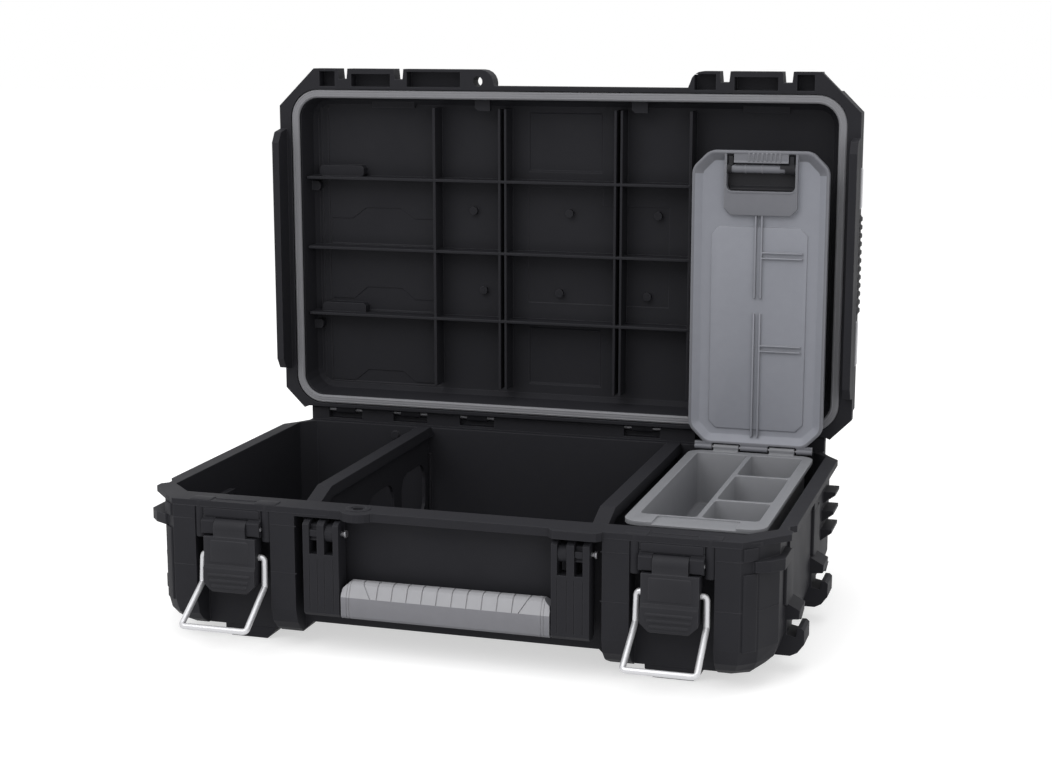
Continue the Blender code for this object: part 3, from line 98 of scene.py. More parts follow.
Colour = tuple[float, float, float]
Point = tuple[float, float, float]
Span = tuple[float, float]
FaceTest = Callable[[Vector, Vector], bool]
EdgeTest = Callable[[Vector, Vector], bool]
Item = bpy.types.Object
Material = bpy.types.Material
Node = bpy.types.Node
Tree = bpy.types.NodeTree
SocketValues = Mapping[str | int, float | Sequence[float]]
Joint = tuple[Node, str, Node, str | int]

X_AXIS: Point = (1.0, 0.0, 0.0)
Z_AXIS: Point = (0.0, 0.0, 1.0)
LATCH_X = 187.0
BAIL_PIVOT: Span = (-170.5, 77.4)


class Body(Enum):
    """Moving bodies of the tool box."""

    BASE = "base"
    LID = "lid"
    LEVER_LEFT = "lever_left"
    LEVER_RIGHT = "lever_right"
    BAIL_LEFT = "bail_left"
    BAIL_RIGHT = "bail_right"
    HANDLE = "handle"
    DIVIDER_LEFT = "divider_left"
    DIVIDER_RIGHT = "divider_right"
    BIN = "bin"
    COVER = "cover"
    COVER_LATCH = "cover_latch"


class Slot(Enum):
    """Material slots of the record."""

    BLACK = "black_plastic"
    GREY = "grey_plastic"
    GRIP = "grip_rubber"
    GASKET = "gasket_rubber"
    LIGHT = "light_plastic"
    TREAD = "tread_rubber"
    STEEL = "steel"
    WIRE = "zinc_wire"


class Side(Enum):
    """Left or right half, as the sign of X."""

    LEFT = -1
    RIGHT = 1

    @property
    def word(self) -> str:
        """Word that a piece's name ends in."""
        return self.name.lower()


def linear(colour: Colour) -> tuple[float, float, float, float]:
    """Turn a colour of 0 to 255 into the linear values that a shader takes.

    Args:
        colour: red, green and blue, each 0 to 255.

    Returns:
        Linear red, green, blue and an alpha of 1.
    """
    values = []
    for channel in colour:
        share = channel / 255
        values.append(share / 12.92 if share <= 0.04045 else ((share + 0.055) / 1.055) ** 2.4)
    return (*values, 1.0)


@dataclass(frozen=True)
class Finish:
    """Look of one moulded, rubber or metal surface."""

    name: str
    colour: Colour
    # colour mixed in along every edge by the soft-edge mask: a painted highlight
    edge: Colour
    roughness: float
    metallic: float = 0.0
    specular: float = 0.5
    drift: float = 0.10
    grain: float = 0.10
    grain_size: float = 0.45
    round_edge: float = 0.9


class Palette(Enum):
    """Finishes of the tool box."""

    # The second colour of each finish is a painted highlight, lighter than the first, mixed in
    # along every edge.
    SHELL = Finish("shell_black", (36, 36, 40), (60, 60, 64), 0.66, specular=0.16)
    LEVER = Finish("lever_black", (37, 37, 41), (62, 62, 66), 0.60, specular=0.20)
    HANDLE = Finish("handle_black", (36, 36, 40), (60, 60, 64), 0.64, specular=0.16)
    DIVIDER = Finish("divider_black", (35, 35, 39), (58, 58, 62), 0.68, specular=0.16)
    BIN = Finish("organizer_grey", (124, 125, 129), (154, 155, 159), 0.50, specular=0.35)
    COVER = Finish("cover_grey", (112, 113, 119), (146, 147, 152), 0.52, specular=0.35)
    COVER_PANEL = Finish("cover_panel_grey", (139, 141, 149), (160, 161, 168), 0.55, specular=0.35)
    GRIP = Finish("grip_grey", (124, 124, 129), (150, 150, 154), 0.70, specular=0.25, grain=0.18)
    GRIP_TOP = Finish("grip_upper_grey", (166, 166, 170), (184, 184, 187), 0.72, specular=0.25,
                      grain=0.35, grain_size=0.9)
    GASKET = Finish("gasket_grey", (128, 128, 132), (150, 150, 154), 0.62, specular=0.30)
    STRIP = Finish("strip_grey", (192, 193, 196), (215, 215, 218), 0.46)
    TREAD = Finish("tread_black", (30, 30, 33), (48, 48, 51), 0.74, specular=0.18, grain=0.20)
    STEEL = Finish("pin_steel", (138, 138, 142), (165, 165, 168), 0.46, metallic=0.85, grain=0.03)
    WIRE = Finish("bail_wire", (206, 206, 209), (226, 226, 228), 0.34, metallic=0.55, grain=0.03)
    SNAP = Finish("snap_black", (34, 34, 37), (60, 60, 64), 0.55, specular=0.18)


class Wiring:
    """Adds nodes to one shader tree and joins them."""

    def __init__(self, tree: Tree) -> None:
        """Take the tree that is filled."""
        self.tree = tree

    @staticmethod
    def _fix(node: Node, values: SocketValues | None) -> Node:
        """Set inputs of a node to fixed values.

        Args:
            node: the node.
            values: the values, by name or place of the input.

        Returns:
            The same node.
        """
        for entry, value in (values or {}).items():
            node.inputs[entry].default_value = value
        return node

    def add(self, kind: str, values: SocketValues | None = None) -> Node:
        """Add a node, named by its type without the ShaderNode prefix, and fix some inputs."""
        return self._fix(self.tree.nodes.new("ShaderNode" + kind), values)

    def maths(self, operation: str, values: SocketValues | None = None, kind: str = "Math") -> Node:
        """Add a node that calculates.

        Args:
            operation: what it does.
            values: fixed inputs, by name or place.
            kind: Math for numbers or VectorMath for vectors.

        Returns:
            The node.
        """
        node = self.add(kind, values)
        node.operation = operation
        return node

    def group(self, tree: Tree, values: SocketValues | None = None) -> Node:
        """Place a shared group.

        Args:
            tree: the group.
            values: fixed inputs, by name.

        Returns:
            The node that holds it.
        """
        node = self.add("Group")
        node.node_tree = tree
        return self._fix(node, values)

    def join(self, *joints: Joint) -> None:
        """Join outputs to inputs.

        Args:
            joints: node and output, then node and input, of each link.
        """
        for source, output, target, entry in joints:
            self.tree.links.new(source.outputs[output], target.inputs[entry])


class NodeGroups:
    """Shader node groups that the finishes share."""

    def __init__(self) -> None:
        """Build the three groups once."""
        self.drift = self._tone_drift()
        self.grain = self._mould_grain()
        self.edge = self._soft_edge()

    @staticmethod
    def _start(name: str, inputs: dict[str, tuple[str, float | None]],
               outputs: dict[str, str]) -> tuple[Wiring, Node, Node]:
        """Make an empty group with its sockets.

        Args:
            name: name of the group.
            inputs: socket type and value for each input's name.
            outputs: socket type for each output's name.

        Returns:
            The group's wiring, its input node and its output node.
        """
        group = bpy.data.node_groups.new(name, "ShaderNodeTree")
        for label, (kind, value) in inputs.items():
            socket = group.interface.new_socket(name=label, in_out="INPUT",
                                                socket_type="NodeSocket" + kind)
            if value is not None:
                socket.default_value = value
        for label, kind in outputs.items():
            group.interface.new_socket(name=label, in_out="OUTPUT", socket_type="NodeSocket" + kind)
        return Wiring(group), group.nodes.new("NodeGroupInput"), group.nodes.new("NodeGroupOutput")

    def _tone_drift(self) -> Tree:
        """Build the slow change of tone over a moulding, as cooling plastic shows.

        Returns:
            The group, which gives a colour and a mask.
        """
        wiring, start, end = self._start(
            "tone_drift", {"Vector": ("Vector", None), "Colour": ("Color", None),
                           "Amount": ("Float", 0.1)},
            {"Colour": "Color", "Mask": "Float"})
        broad = wiring.add("TexNoise", {"Scale": 9.0, "Detail": 4.0})
        fine = wiring.add("TexNoise", {"Scale": 120.0, "Detail": 3.0})
        both = wiring.maths("ADD")
        swing = wiring.maths("SUBTRACT", {1: 1.0})
        scaled = wiring.maths("MULTIPLY_ADD", {2: 1.0})
        tinted = wiring.maths("SCALE", kind="VectorMath")
        wiring.join(
            (start, "Vector", broad, "Vector"), (start, "Vector", fine, "Vector"),
            (broad, "Fac", both, 0), (fine, "Fac", both, 1), (both, "Value", swing, 0),
            (swing, "Value", scaled, 0), (start, "Amount", scaled, 1), (start, "Colour", tinted, 0),
            (scaled, "Value", tinted, "Scale"), (tinted, "Vector", end, "Colour"),
            (broad, "Fac", end, "Mask"))
        return wiring.tree

    def _mould_grain(self) -> Tree:
        """Build the fine spark-eroded grain of a moulding.

        Returns:
            The group, which gives a height and a roughness.
        """
        wiring, start, end = self._start(
            "mould_grain",
            {"Vector": ("Vector", None), "Grain Size": ("Float", 0.45),
             "Roughness": ("Float", 0.5)},
            {"Height": "Float", "Roughness": "Float"})
        pitch = wiring.maths("DIVIDE", {0: 1.0 / MM})
        fine = wiring.add("TexNoise", {"Detail": 2.0})
        patches = wiring.add("TexNoise", {"Scale": 22.0, "Detail": 5.0})
        change = wiring.add("MapRange",
                            {"From Min": 0.3, "From Max": 0.7, "To Min": -0.045, "To Max": 0.045})
        total = wiring.maths("ADD")
        wiring.join(
            (start, "Grain Size", pitch, 1), (pitch, "Value", fine, "Scale"),
            (start, "Vector", fine, "Vector"), (start, "Vector", patches, "Vector"),
            (patches, "Fac", change, "Value"), (change, "Result", total, 0),
            (start, "Roughness", total, 1),
            (fine, "Fac", end, "Height"), (total, "Value", end, "Roughness"))
        return wiring.tree

    def _soft_edge(self) -> Tree:
        """Build the mask that is 1 where a rounded normal leaves the true one, at an edge, where
        the painted edge highlight goes.

        Returns:
            The group, which gives a mask.
        """
        wiring, start, end = self._start(
            "soft_edge", {"Gain": ("Float", 5.0), "Normal": ("Vector", None)}, {"Mask": "Float"})
        surface = wiring.add("NewGeometry")
        same = wiring.maths("DOT_PRODUCT", kind="VectorMath")
        turned = wiring.maths("SUBTRACT", {0: 1.0})
        mask = wiring.maths("MULTIPLY")
        mask.use_clamp = True
        wiring.join(
            (start, "Normal", same, 0), (surface, "True Normal", same, 1),
            (same, "Value", turned, 1),
            (turned, "Value", mask, 0), (start, "Gain", mask, 1), (mask, "Value", end, "Mask"))
        return wiring.tree


class PaintShop:
    """Makes each finish once and puts it on pieces."""

    bevel_samples = 6
    grain_depth = 0.1

    def __init__(self) -> None:
        """Build the shared groups."""
        self.groups = NodeGroups()
        self.made: dict[Palette, Material] = {}

    def material(self, choice: Palette) -> Material:
        """Return the material of a finish, made on its first use.

        Args:
            choice: the finish that is wanted.

        Returns:
            Its material.
        """
        if choice not in self.made:
            self.made[choice] = self._build(choice.value)
        return self.made[choice]

    def dress(self, item: Item, choice: Palette) -> None:
        """Give a whole piece one finish."""
        item.data.materials.clear()
        item.data.materials.append(self.material(choice))

    def dress_two(self, item: Item, choice: Palette, second: Palette, test: FaceTest) -> None:
        """Give a piece one finish and some of its faces another.

        Args:
            item: the piece.
            choice: finish of the piece.
            second: finish of the faces.
            test: picks the faces.
        """
        self.dress(item, choice)
        item.data.materials.append(self.material(second))
        item.active_material_index = 1
        with Bench.shaping(item):
            Bench.faces(item, test)
            bpy.ops.object.material_slot_assign()

    def _build(self, finish: Finish) -> Material:
        """Build the node tree of one finish.

        Args:
            finish: the finish.

        Returns:
            The new material.
        """
        material = bpy.data.materials.new(finish.name)
        material.use_nodes = True
        wiring = Wiring(material.node_tree)
        shader = wiring.tree.nodes["Principled BSDF"]
        shader.inputs["Metallic"].default_value = finish.metallic
        shader.inputs["Specular IOR Level"].default_value = finish.specular
        place = wiring.add("TexCoord")
        drift = wiring.group(self.groups.drift,
                             {"Colour": linear(finish.colour), "Amount": finish.drift})
        grain = wiring.group(self.groups.grain,
                             {"Grain Size": finish.grain_size, "Roughness": finish.roughness})
        bevel = wiring.add("Bevel", {"Radius": finish.round_edge * MM})
        bevel.samples = self.bevel_samples
        edge = wiring.group(self.groups.edge)
        # Painted highlight: the finish's lighter edge colour is mixed into the base colour along
        # every edge by the soft-edge mask.
        edge_highlight = wiring.add("Mix")
        edge_highlight.data_type = "RGBA"
        edge_highlight.inputs["B"].default_value = linear(finish.edge)
        bump = wiring.add("Bump", {"Strength": finish.grain, "Distance": self.grain_depth * MM})
        wiring.join(
            (place, "Object", drift, "Vector"), (place, "Object", grain, "Vector"),
            (bevel, "Normal", edge, "Normal"), (edge, "Mask", edge_highlight, "Factor"),
            (drift, "Colour", edge_highlight, "A"),
            (edge_highlight, "Result", shader, "Base Color"), (grain, "Roughness", shader, "Roughness"),
            (grain, "Height", bump, "Height"), (bevel, "Normal", bump, "Normal"),
            (bump, "Normal", shader, "Normal"))
        return material


@dataclass
class Studio:
    """Camera, floor, lamps and surroundings, in metres."""

    camera_place: Point = (0.4866, -1.5526, 0.5133)
    camera_turn: Point = (math.pi / 2 - 0.1883, 0.0, 0.2939)
    lens: float = 64.37
    sensor: float = 36.0
    floor_half: float = 12.0
    floor_drop: float = 0.0004
    floor_tone: float = 0.62
    floor_glow: float = 0.57
    sky: float = 0.72
    aim: Point = (0.0, 0.0, 0.2)
    lamps: tuple[tuple[str, Point, float, float], ...] = (
        ("key", (-0.9, -1.9, 2.3), 1.9, 29.0), ("fill", (1.5, -2.3, 1.0), 1.6, 5.0),
        ("top", (0.1, 0.2, 2.2), 2.0, 16.0))

    def build(self) -> None:
        """Set up everything round the tool box."""
        bpy.context.scene.view_settings.view_transform = "Standard"
        self._camera()
        self._floor()
        self._surroundings()
        for lamp in self.lamps:
            self._lamp(*lamp)
        LOG.info("studio ready")

    def _camera(self) -> None:
        """Place the camera where the photograph was taken from."""
        data = bpy.data.cameras.new("camera")
        data.lens = self.lens
        data.sensor_width = self.sensor
        camera = bpy.data.objects.new("camera", data)
        camera.location = self.camera_place
        camera.rotation_euler = self.camera_turn
        bpy.context.scene.collection.objects.link(camera)
        bpy.context.scene.camera = camera

    def _floor(self) -> None:
        """Lay the pale floor, which stays white to the camera but keeps its shadow."""
        bpy.ops.mesh.primitive_plane_add(size=2 * self.floor_half,
                                         location=(0.0, 0.0, -self.floor_drop))
        floor = bpy.context.object
        floor.name = "studio_floor"
        material = bpy.data.materials.new("studio_floor")
        material.use_nodes = True
        material.node_tree.nodes.clear()
        wiring = Wiring(material.node_tree)
        paint = wiring.add("BsdfDiffuse",
                           {"Color": (self.floor_tone, self.floor_tone, self.floor_tone, 1.0)})
        glow = wiring.add("Emission")
        rays = self._seen(wiring)
        scaled = wiring.maths("MULTIPLY", {1: self.floor_glow})
        both = wiring.add("AddShader")
        out = wiring.add("OutputMaterial")
        wiring.join(
            (rays, "Value", scaled, 0), (scaled, "Value", glow, "Strength"),
            (paint, "BSDF", both, 0),
            (glow, "Emission", both, 1), (both, "Shader", out, "Surface"))
        floor.data.materials.append(material)
        floor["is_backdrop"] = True

    def _surroundings(self) -> None:
        """Make the surroundings white to the camera and in reflections, and softer as light."""
        world = bpy.data.worlds.new("studio_white")
        bpy.context.scene.world = world
        world.use_nodes = True
        wiring = Wiring(world.node_tree)
        background = wiring.tree.nodes["Background"]
        background.inputs["Color"].default_value = (1.0, 1.0, 1.0, 1.0)
        rays = self._seen(wiring)
        strength = wiring.add("MapRange", {"To Min": self.sky, "To Max": 1.0})
        wiring.join((rays, "Value", strength, "Value"),
                    (strength, "Result", background, "Strength"))

    @staticmethod
    def _seen(wiring: Wiring) -> Node:
        """Add a node whose value is 1 for camera, glossy and transmission rays.

        Args:
            wiring: tree that it is added to.

        Returns:
            The node.
        """
        path = wiring.add("LightPath")
        first = wiring.maths("MAXIMUM")
        second = wiring.maths("MAXIMUM")
        wiring.join(
            (path, "Is Camera Ray", first, 0), (path, "Is Glossy Ray", first, 1),
            (first, "Value", second, 0), (path, "Is Transmission Ray", second, 1))
        return second

    def _lamp(self, name: str, place: Point, size: float, power: float) -> None:
        """Hang one soft square lamp that points at the tool box.

        Args:
            name: name of the lamp.
            place: where it hangs.
            size: length of its sides.
            power: its power in watts.
        """
        data = bpy.data.lights.new(name, "AREA")
        data.size = size
        data.energy = power
        lamp = bpy.data.objects.new(name, data)
        lamp.location = place
        way = Vector(self.aim) - Vector(place)
        lamp.rotation_euler = way.to_track_quat("-Z", "Y").to_euler()
        bpy.context.scene.collection.objects.link(lamp)


class Bench:
    """Hand modelling steps that the sub-assemblies share, with places in millimetres."""

    @staticmethod
    def single(item: Item) -> None:
        """Make one piece the only selected and the active one.

        Args:
            item: the piece.
        """
        bpy.ops.object.select_all(action="DESELECT")
        item.select_set(True)
        bpy.context.view_layer.objects.active = item

    @staticmethod
    def _settle(name: str) -> Item:
        """Name the new primitive and put its place in its mesh.

        Args:
            name: name of the piece.

        Returns:
            The piece.
        """
        item = bpy.context.object
        item.name = name
        item.data.name = name
        bpy.ops.object.transform_apply(location=True, rotation=True, scale=True)
        return item

    @classmethod
    def block(cls, name: str, low: Point, high: Point) -> Item:
        """Add a block.

        Args:
            name: name of the piece.
            low: lowest corner.
            high: highest corner.

        Returns:
            The block.
        """
        bpy.ops.object.select_all(action="DESELECT")
        middle = [(a + b) / 2 * MM for a, b in zip(low, high)]
        size = [(b - a) * MM for a, b in zip(low, high)]
        bpy.ops.mesh.primitive_cube_add(size=1.0, location=middle, scale=size)
        return cls._settle(name)

    @classmethod
    def rod(cls, name: str, axis: str, middle: Span, radius: float, reach: Span,
            sides: int = 32) -> Item:
        """Add a round bar along one axis.

        Args:
            name: name of the piece.
            axis: x, y or z.
            middle: place of the bar on the two other axes, in their order.
            radius: radius.
            reach: where it starts and stops.
            sides: faces round it.

        Returns:
            The bar.
        """
        bpy.ops.object.select_all(action="DESELECT")
        place = list(middle)
        place.insert("xyz".index(axis), sum(reach) / 2)
        turn = {"x": (0.0, math.pi / 2, 0.0), "y": (math.pi / 2, 0.0, 0.0),
                "z": (0.0, 0.0, 0.0)}[axis]
        bpy.ops.mesh.primitive_cylinder_add(
            vertices=sides, radius=radius * MM, depth=(reach[1] - reach[0]) * MM,
            location=[value * MM for value in place], rotation=turn)
        return cls._settle(name)

    @classmethod
    @contextmanager
    def shaping(cls, item: Item, kind: str = "FACE") -> Iterator[None]:
        """Hold a piece in edit mode, with nothing selected, while it is shaped.

        Args:
            item: the piece.
            kind: FACE, EDGE or VERT.
        """
        cls.single(item)
        bpy.ops.object.mode_set(mode="EDIT")
        bpy.ops.mesh.select_mode(type=kind)
        bpy.ops.mesh.select_all(action="DESELECT")
        yield
        bpy.ops.object.mode_set(mode="OBJECT")

    @staticmethod
    def faces(item: Item, test: FaceTest) -> None:
        """Select the faces whose middle and normal pass a test.

        Args:
            item: the piece, in edit mode.
            test: takes the middle and the normal.
        """
        mesh = bmesh.from_edit_mesh(item.data)
        chosen = [face for face in mesh.faces if test(face.calc_center_median() / MM, face.normal)]
        Bench._pick(item, mesh.faces, chosen)

    @staticmethod
    def edges(item: Item, test: EdgeTest) -> None:
        """Select the edges whose two ends pass a test.

        Args:
            item: the piece, in edit mode.
            test: takes both ends.
        """
        mesh = bmesh.from_edit_mesh(item.data)
        chosen = [edge for edge in mesh.edges if test(edge.verts[0].co / MM, edge.verts[1].co / MM)]
        Bench._pick(item, mesh.edges, chosen)

    @staticmethod
    def _pick(item: Item, every: Iterable, chosen: Iterable) -> None:
        """Select some faces or edges and no others.

        Args:
            item: the piece, in edit mode.
            every: all its faces or edges.
            chosen: those to select.
        """
        for element in every:
            element.select_set(False)
        for element in chosen:
            element.select_set(True)
        bmesh.update_edit_mesh(item.data)

    @classmethod
    def shave(cls, item: Item, point: Point, normal: Point) -> None:
        """Plane off everything in front of a plane and close the cut.

        Args:
            item: the piece.
            point: a point on the plane.
            normal: direction of what is taken off.
        """
        with cls.shaping(item):
            bpy.ops.mesh.select_all(action="SELECT")
            bpy.ops.mesh.bisect(plane_co=Vector(point) * MM, plane_no=Vector(normal).normalized(),
                                use_fill=True, clear_outer=True)

    @classmethod
    def score(cls, item: Item, point: Point, normal: Point, test: FaceTest) -> None:
        """Scribe a line on some faces, where a plane meets them.

        Args:
            item: the piece.
            point: a point on the plane.
            normal: normal of the plane.
            test: picks the faces.
        """
        with cls.shaping(item):
            cls.faces(item, test)
            bpy.ops.mesh.bisect(plane_co=Vector(point) * MM, plane_no=Vector(normal).normalized())

    @classmethod
    def band(cls, item: Item, point: Point, normal: Point, width: float, test: FaceTest) -> None:
        """Scribe the two lines of a band on some faces.

        Args:
            item: the piece.
            point: a point on the band's middle plane.
            normal: normal of that plane.
            width: distance between the lines.
            test: picks the faces.
        """
        across = Vector(normal).normalized()
        for offset in (-width / 2, width / 2):
            cls.score(item, Vector(point) + across * offset, across, test)

    @classmethod
    def push(cls, item: Item, test: FaceTest, move: Point) -> None:
        """Extrude some faces along one vector.

        Args:
            item: the piece.
            test: picks the faces.
            move: the vector.
        """
        with cls.shaping(item):
            cls.faces(item, test)
            bpy.ops.mesh.extrude_region_move(TRANSFORM_OT_translate={"value": Vector(move) * MM})

    @classmethod
    def swell(cls, item: Item, test: FaceTest, rise: float) -> None:
        """Extrude some faces along their own normals.

        Args:
            item: the piece.
            test: picks the faces.
            rise: height, below zero for a groove.
        """
        with cls.shaping(item):
            cls.faces(item, test)
            bpy.ops.mesh.extrude_region_shrink_fatten(
                TRANSFORM_OT_shrink_fatten={"value": rise * MM})

    @classmethod
    def inset(cls, item: Item, test: FaceTest, width: float, depth: float = 0.0) -> None:
        """Inset some faces and sink or raise them.

        Args:
            item: the piece.
            test: picks the faces.
            width: width of the new border.
            depth: rise of the middle, below zero to sink it.
        """
        with cls.shaping(item):
            cls.faces(item, test)
            bpy.ops.mesh.inset(thickness=width * MM, depth=depth * MM)

    @classmethod
    def round_off(cls, item: Item, test: EdgeTest, width: float, steps: int = 3) -> None:
        """Bevel some edges.

        Args:
            item: the piece.
            test: picks the edges.
            width: width of the bevel.
            steps: faces across it.
        """
        with cls.shaping(item, "EDGE"):
            cls.edges(item, test)
            bpy.ops.mesh.bevel(offset=width * MM, offset_type="OFFSET", segments=steps,
                               affect="EDGES",
                               clamp_overlap=True)

    @classmethod
    def soften(cls, item: Item, width: float, steps: int = 2, angle: float = 35.0) -> None:
        """Break every sharp edge of a piece.

        Args:
            item: the piece.
            width: width of the rounding.
            steps: faces across it.
            angle: edges sharper than this are rounded, in degrees.
        """
        cls.single(item)
        with cls.shaping(item):
            bpy.ops.mesh.select_all(action="SELECT")
            bpy.ops.mesh.dissolve_limited(angle_limit=math.radians(0.5))
        modifier = item.modifiers.new("soften", "BEVEL")
        modifier.width = width * MM
        modifier.segments = steps
        modifier.limit_method = "ANGLE"
        modifier.angle_limit = math.radians(angle)
        bpy.ops.object.modifier_apply(modifier=modifier.name)

    @classmethod
    def _boolean(cls, item: Item, tools: Iterable[Item], operation: str) -> None:
        """Join or take away helper pieces, which are used up.

        Args:
            item: the piece.
            tools: the helpers.
            operation: UNION or DIFFERENCE.
        """
        for tool in tools:
            cls.single(item)
            modifier = item.modifiers.new("join", "BOOLEAN")
            modifier.operation = operation
            modifier.solver = "EXACT"
            modifier.object = tool
            bpy.ops.object.modifier_apply(modifier=modifier.name)
            bpy.data.objects.remove(tool)

    @classmethod
    def fuse(cls, item: Item, *tools: Item) -> None:
        """Join helper pieces to a piece."""
        cls._boolean(item, tools, "UNION")

    @classmethod
    def carve(cls, item: Item, *tools: Item) -> None:
        """Take helper pieces out of a piece."""
        cls._boolean(item, tools, "DIFFERENCE")

    @classmethod
    def copy(cls, item: Item, name: str, move: Point = (0.0, 0.0, 0.0),
             mirror: bool = False) -> Item:
        """Copy a piece with its own mesh, moved or mirrored left to right.

        Args:
            item: the piece.
            name: name of the copy.
            move: how far the copy is moved.
            mirror: whether it is mirrored across the middle of the tool box.

        Returns:
            The copy.
        """
        cls.single(item)
        bpy.ops.object.duplicate(linked=False)
        twin = bpy.context.object
        twin.name = name
        twin.data.name = name
        twin.location = Vector(move) * MM
        if mirror:
            twin.scale.x = -1.0
        bpy.ops.object.transform_apply(location=True, rotation=True, scale=True)
        if mirror:
            with cls.shaping(twin):
                bpy.ops.mesh.select_all(action="SELECT")
                bpy.ops.mesh.normals_make_consistent(inside=False)
        return twin

    @classmethod
    def wire(cls, name: str, path: Sequence[Point], radius: float, rings: int) -> Item:
        """Bend a round wire or bead along a path.

        Args:
            name: name of the piece.
            path: points of its middle line.
            radius: radius of the wire.
            rings: fineness of its roundness.

        Returns:
            The wire, as a mesh.
        """
        curve = bpy.data.curves.new(name, "CURVE")
        curve.dimensions = "3D"
        curve.bevel_depth = radius * MM
        curve.bevel_resolution = rings
        curve.use_fill_caps = True
        spline = curve.splines.new("POLY")
        spline.points.add(len(path) - 1)
        for knot, place in zip(spline.points, path):
            knot.co = (*(value * MM for value in place), 1.0)
        return cls._meshed(bpy.data.objects.new(name, curve))

    @classmethod
    def plate(cls, name: str, outline: Sequence[Span], reach: Span, ease: float) -> Item:
        """Cut a flat plate that stands across the X axis.

        Args:
            name: name of the piece.
            outline: its outline as places on Y and Z.
            reach: where it starts and stops on X.
            ease: rounding of its edges.

        Returns:
            The plate, as a mesh.
        """
        curve = bpy.data.curves.new(name, "CURVE")
        curve.dimensions = "2D"
        curve.fill_mode = "BOTH"
        curve.extrude = ((reach[1] - reach[0]) / 2 - ease) * MM
        curve.bevel_depth = ease * MM
        curve.offset = -ease * MM
        curve.bevel_resolution = 2
        spline = curve.splines.new("POLY")
        spline.points.add(len(outline) - 1)
        spline.use_cyclic_u = True
        for knot, (y, z) in zip(spline.points, outline):
            knot.co = (y * MM, z * MM, 0.0, 1.0)
        item = bpy.data.objects.new(name, curve)
        item.location.x = sum(reach) / 2 * MM
        item.rotation_euler = (math.pi / 2, 0.0, math.pi / 2)
        return cls._meshed(item)

    @classmethod
    def _meshed(cls, item: Item) -> Item:
        """Turn a new curve into a closed mesh at its place.

        Args:
            item: the curve's object, not yet in the scene.

        Returns:
            The piece, as a mesh.
        """
        name = item.name
        bpy.context.scene.collection.objects.link(item)
        cls.single(item)
        bpy.ops.object.convert(target="MESH")
        item = cls._settle(name)
        with cls.shaping(item):
            bpy.ops.mesh.select_all(action="SELECT")
            bpy.ops.mesh.remove_doubles(threshold=0.01 * MM)
            bpy.ops.mesh.normals_make_consistent(inside=False)
        return item


def along(axis: str, least: float) -> EdgeTest:
    """Make a test that picks the edges which run along an axis.

    Args:
        axis: x, y or z.
        least: how far along it they run at least.

    Returns:
        The test.
    """
    place = "xyz".index(axis)
    return lambda a, b: abs(a[place] - b[place]) > least


def below(axis: str, limit: float) -> EdgeTest:
    """Make a test that picks the edges which lie on the low side of a plane.

    Args:
        axis: x, y or z, across the plane.
        limit: place of the plane.

    Returns:
        The test.
    """
    place = "xyz".index(axis)
    return lambda a, b: max(a[place], b[place]) < limit


def eased(points: Sequence[Point], radius: float, steps: int = 8) -> list[Point]:
    """Replace the inner corners of a polyline by smooth bends.

    Args:
        points: the polyline.
        radius: about the radius of each bend.
        steps: points along each bend.

    Returns:
        The smooth path.
    """
    path = [points[0]]
    for before, corner, after in zip(points, points[1:], points[2:]):
        here = Vector(corner)
        first, second = Vector(before) - here, Vector(after) - here
        half = first.angle(second) / 2
        reach = min(radius / math.tan(half), 0.45 * first.length, 0.45 * second.length)
        start = here + first.normalized() * reach
        stop = here + second.normalized() * reach
        for share in (step / steps for step in range(steps + 1)):
            rest = 1 - share
            path.append(tuple(rest ** 2 * start + 2 * share * rest * here + share ** 2 * stop))
    path.append(points[-1])
    return path


class Fitter:
    """Finishes new pieces and fits them to the tool box."""

    def __init__(self, shop: PaintShop) -> None:
        """Keep the maker of the finishes."""
        self.shop = shop
        self.count = 0

    def fit(self, item: Item, body: Body, choice: Palette,
            replaces: Sequence[str] = (), angle: float = 32.0) -> None:
        """Shade, dress and mount one finished piece.

        Args:
            item: the piece.
            body: body that it moves with.
            choice: its finish.
            replaces: solids that it stands for.
            angle: edges sharper than this stay sharp, in degrees.
        """
        Bench.single(item)
        bpy.ops.object.shade_smooth_by_angle(angle=math.radians(angle))
        if len(item.data.materials) < 2:
            self.shop.dress(item, choice)
        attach(item, body.value)
        if replaces:
            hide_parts(*replaces)
        self.count += 1
        LOG.info("%s: %d faces, on %s", item.name, len(item.data.polygons), body.value)

    def relief(self, *items: Item, angle: float = 32.0) -> None:
        """Fit black relief to the base."""
        for item in items:
            self.fit(item, Body.BASE, Palette.SHELL, angle=angle)


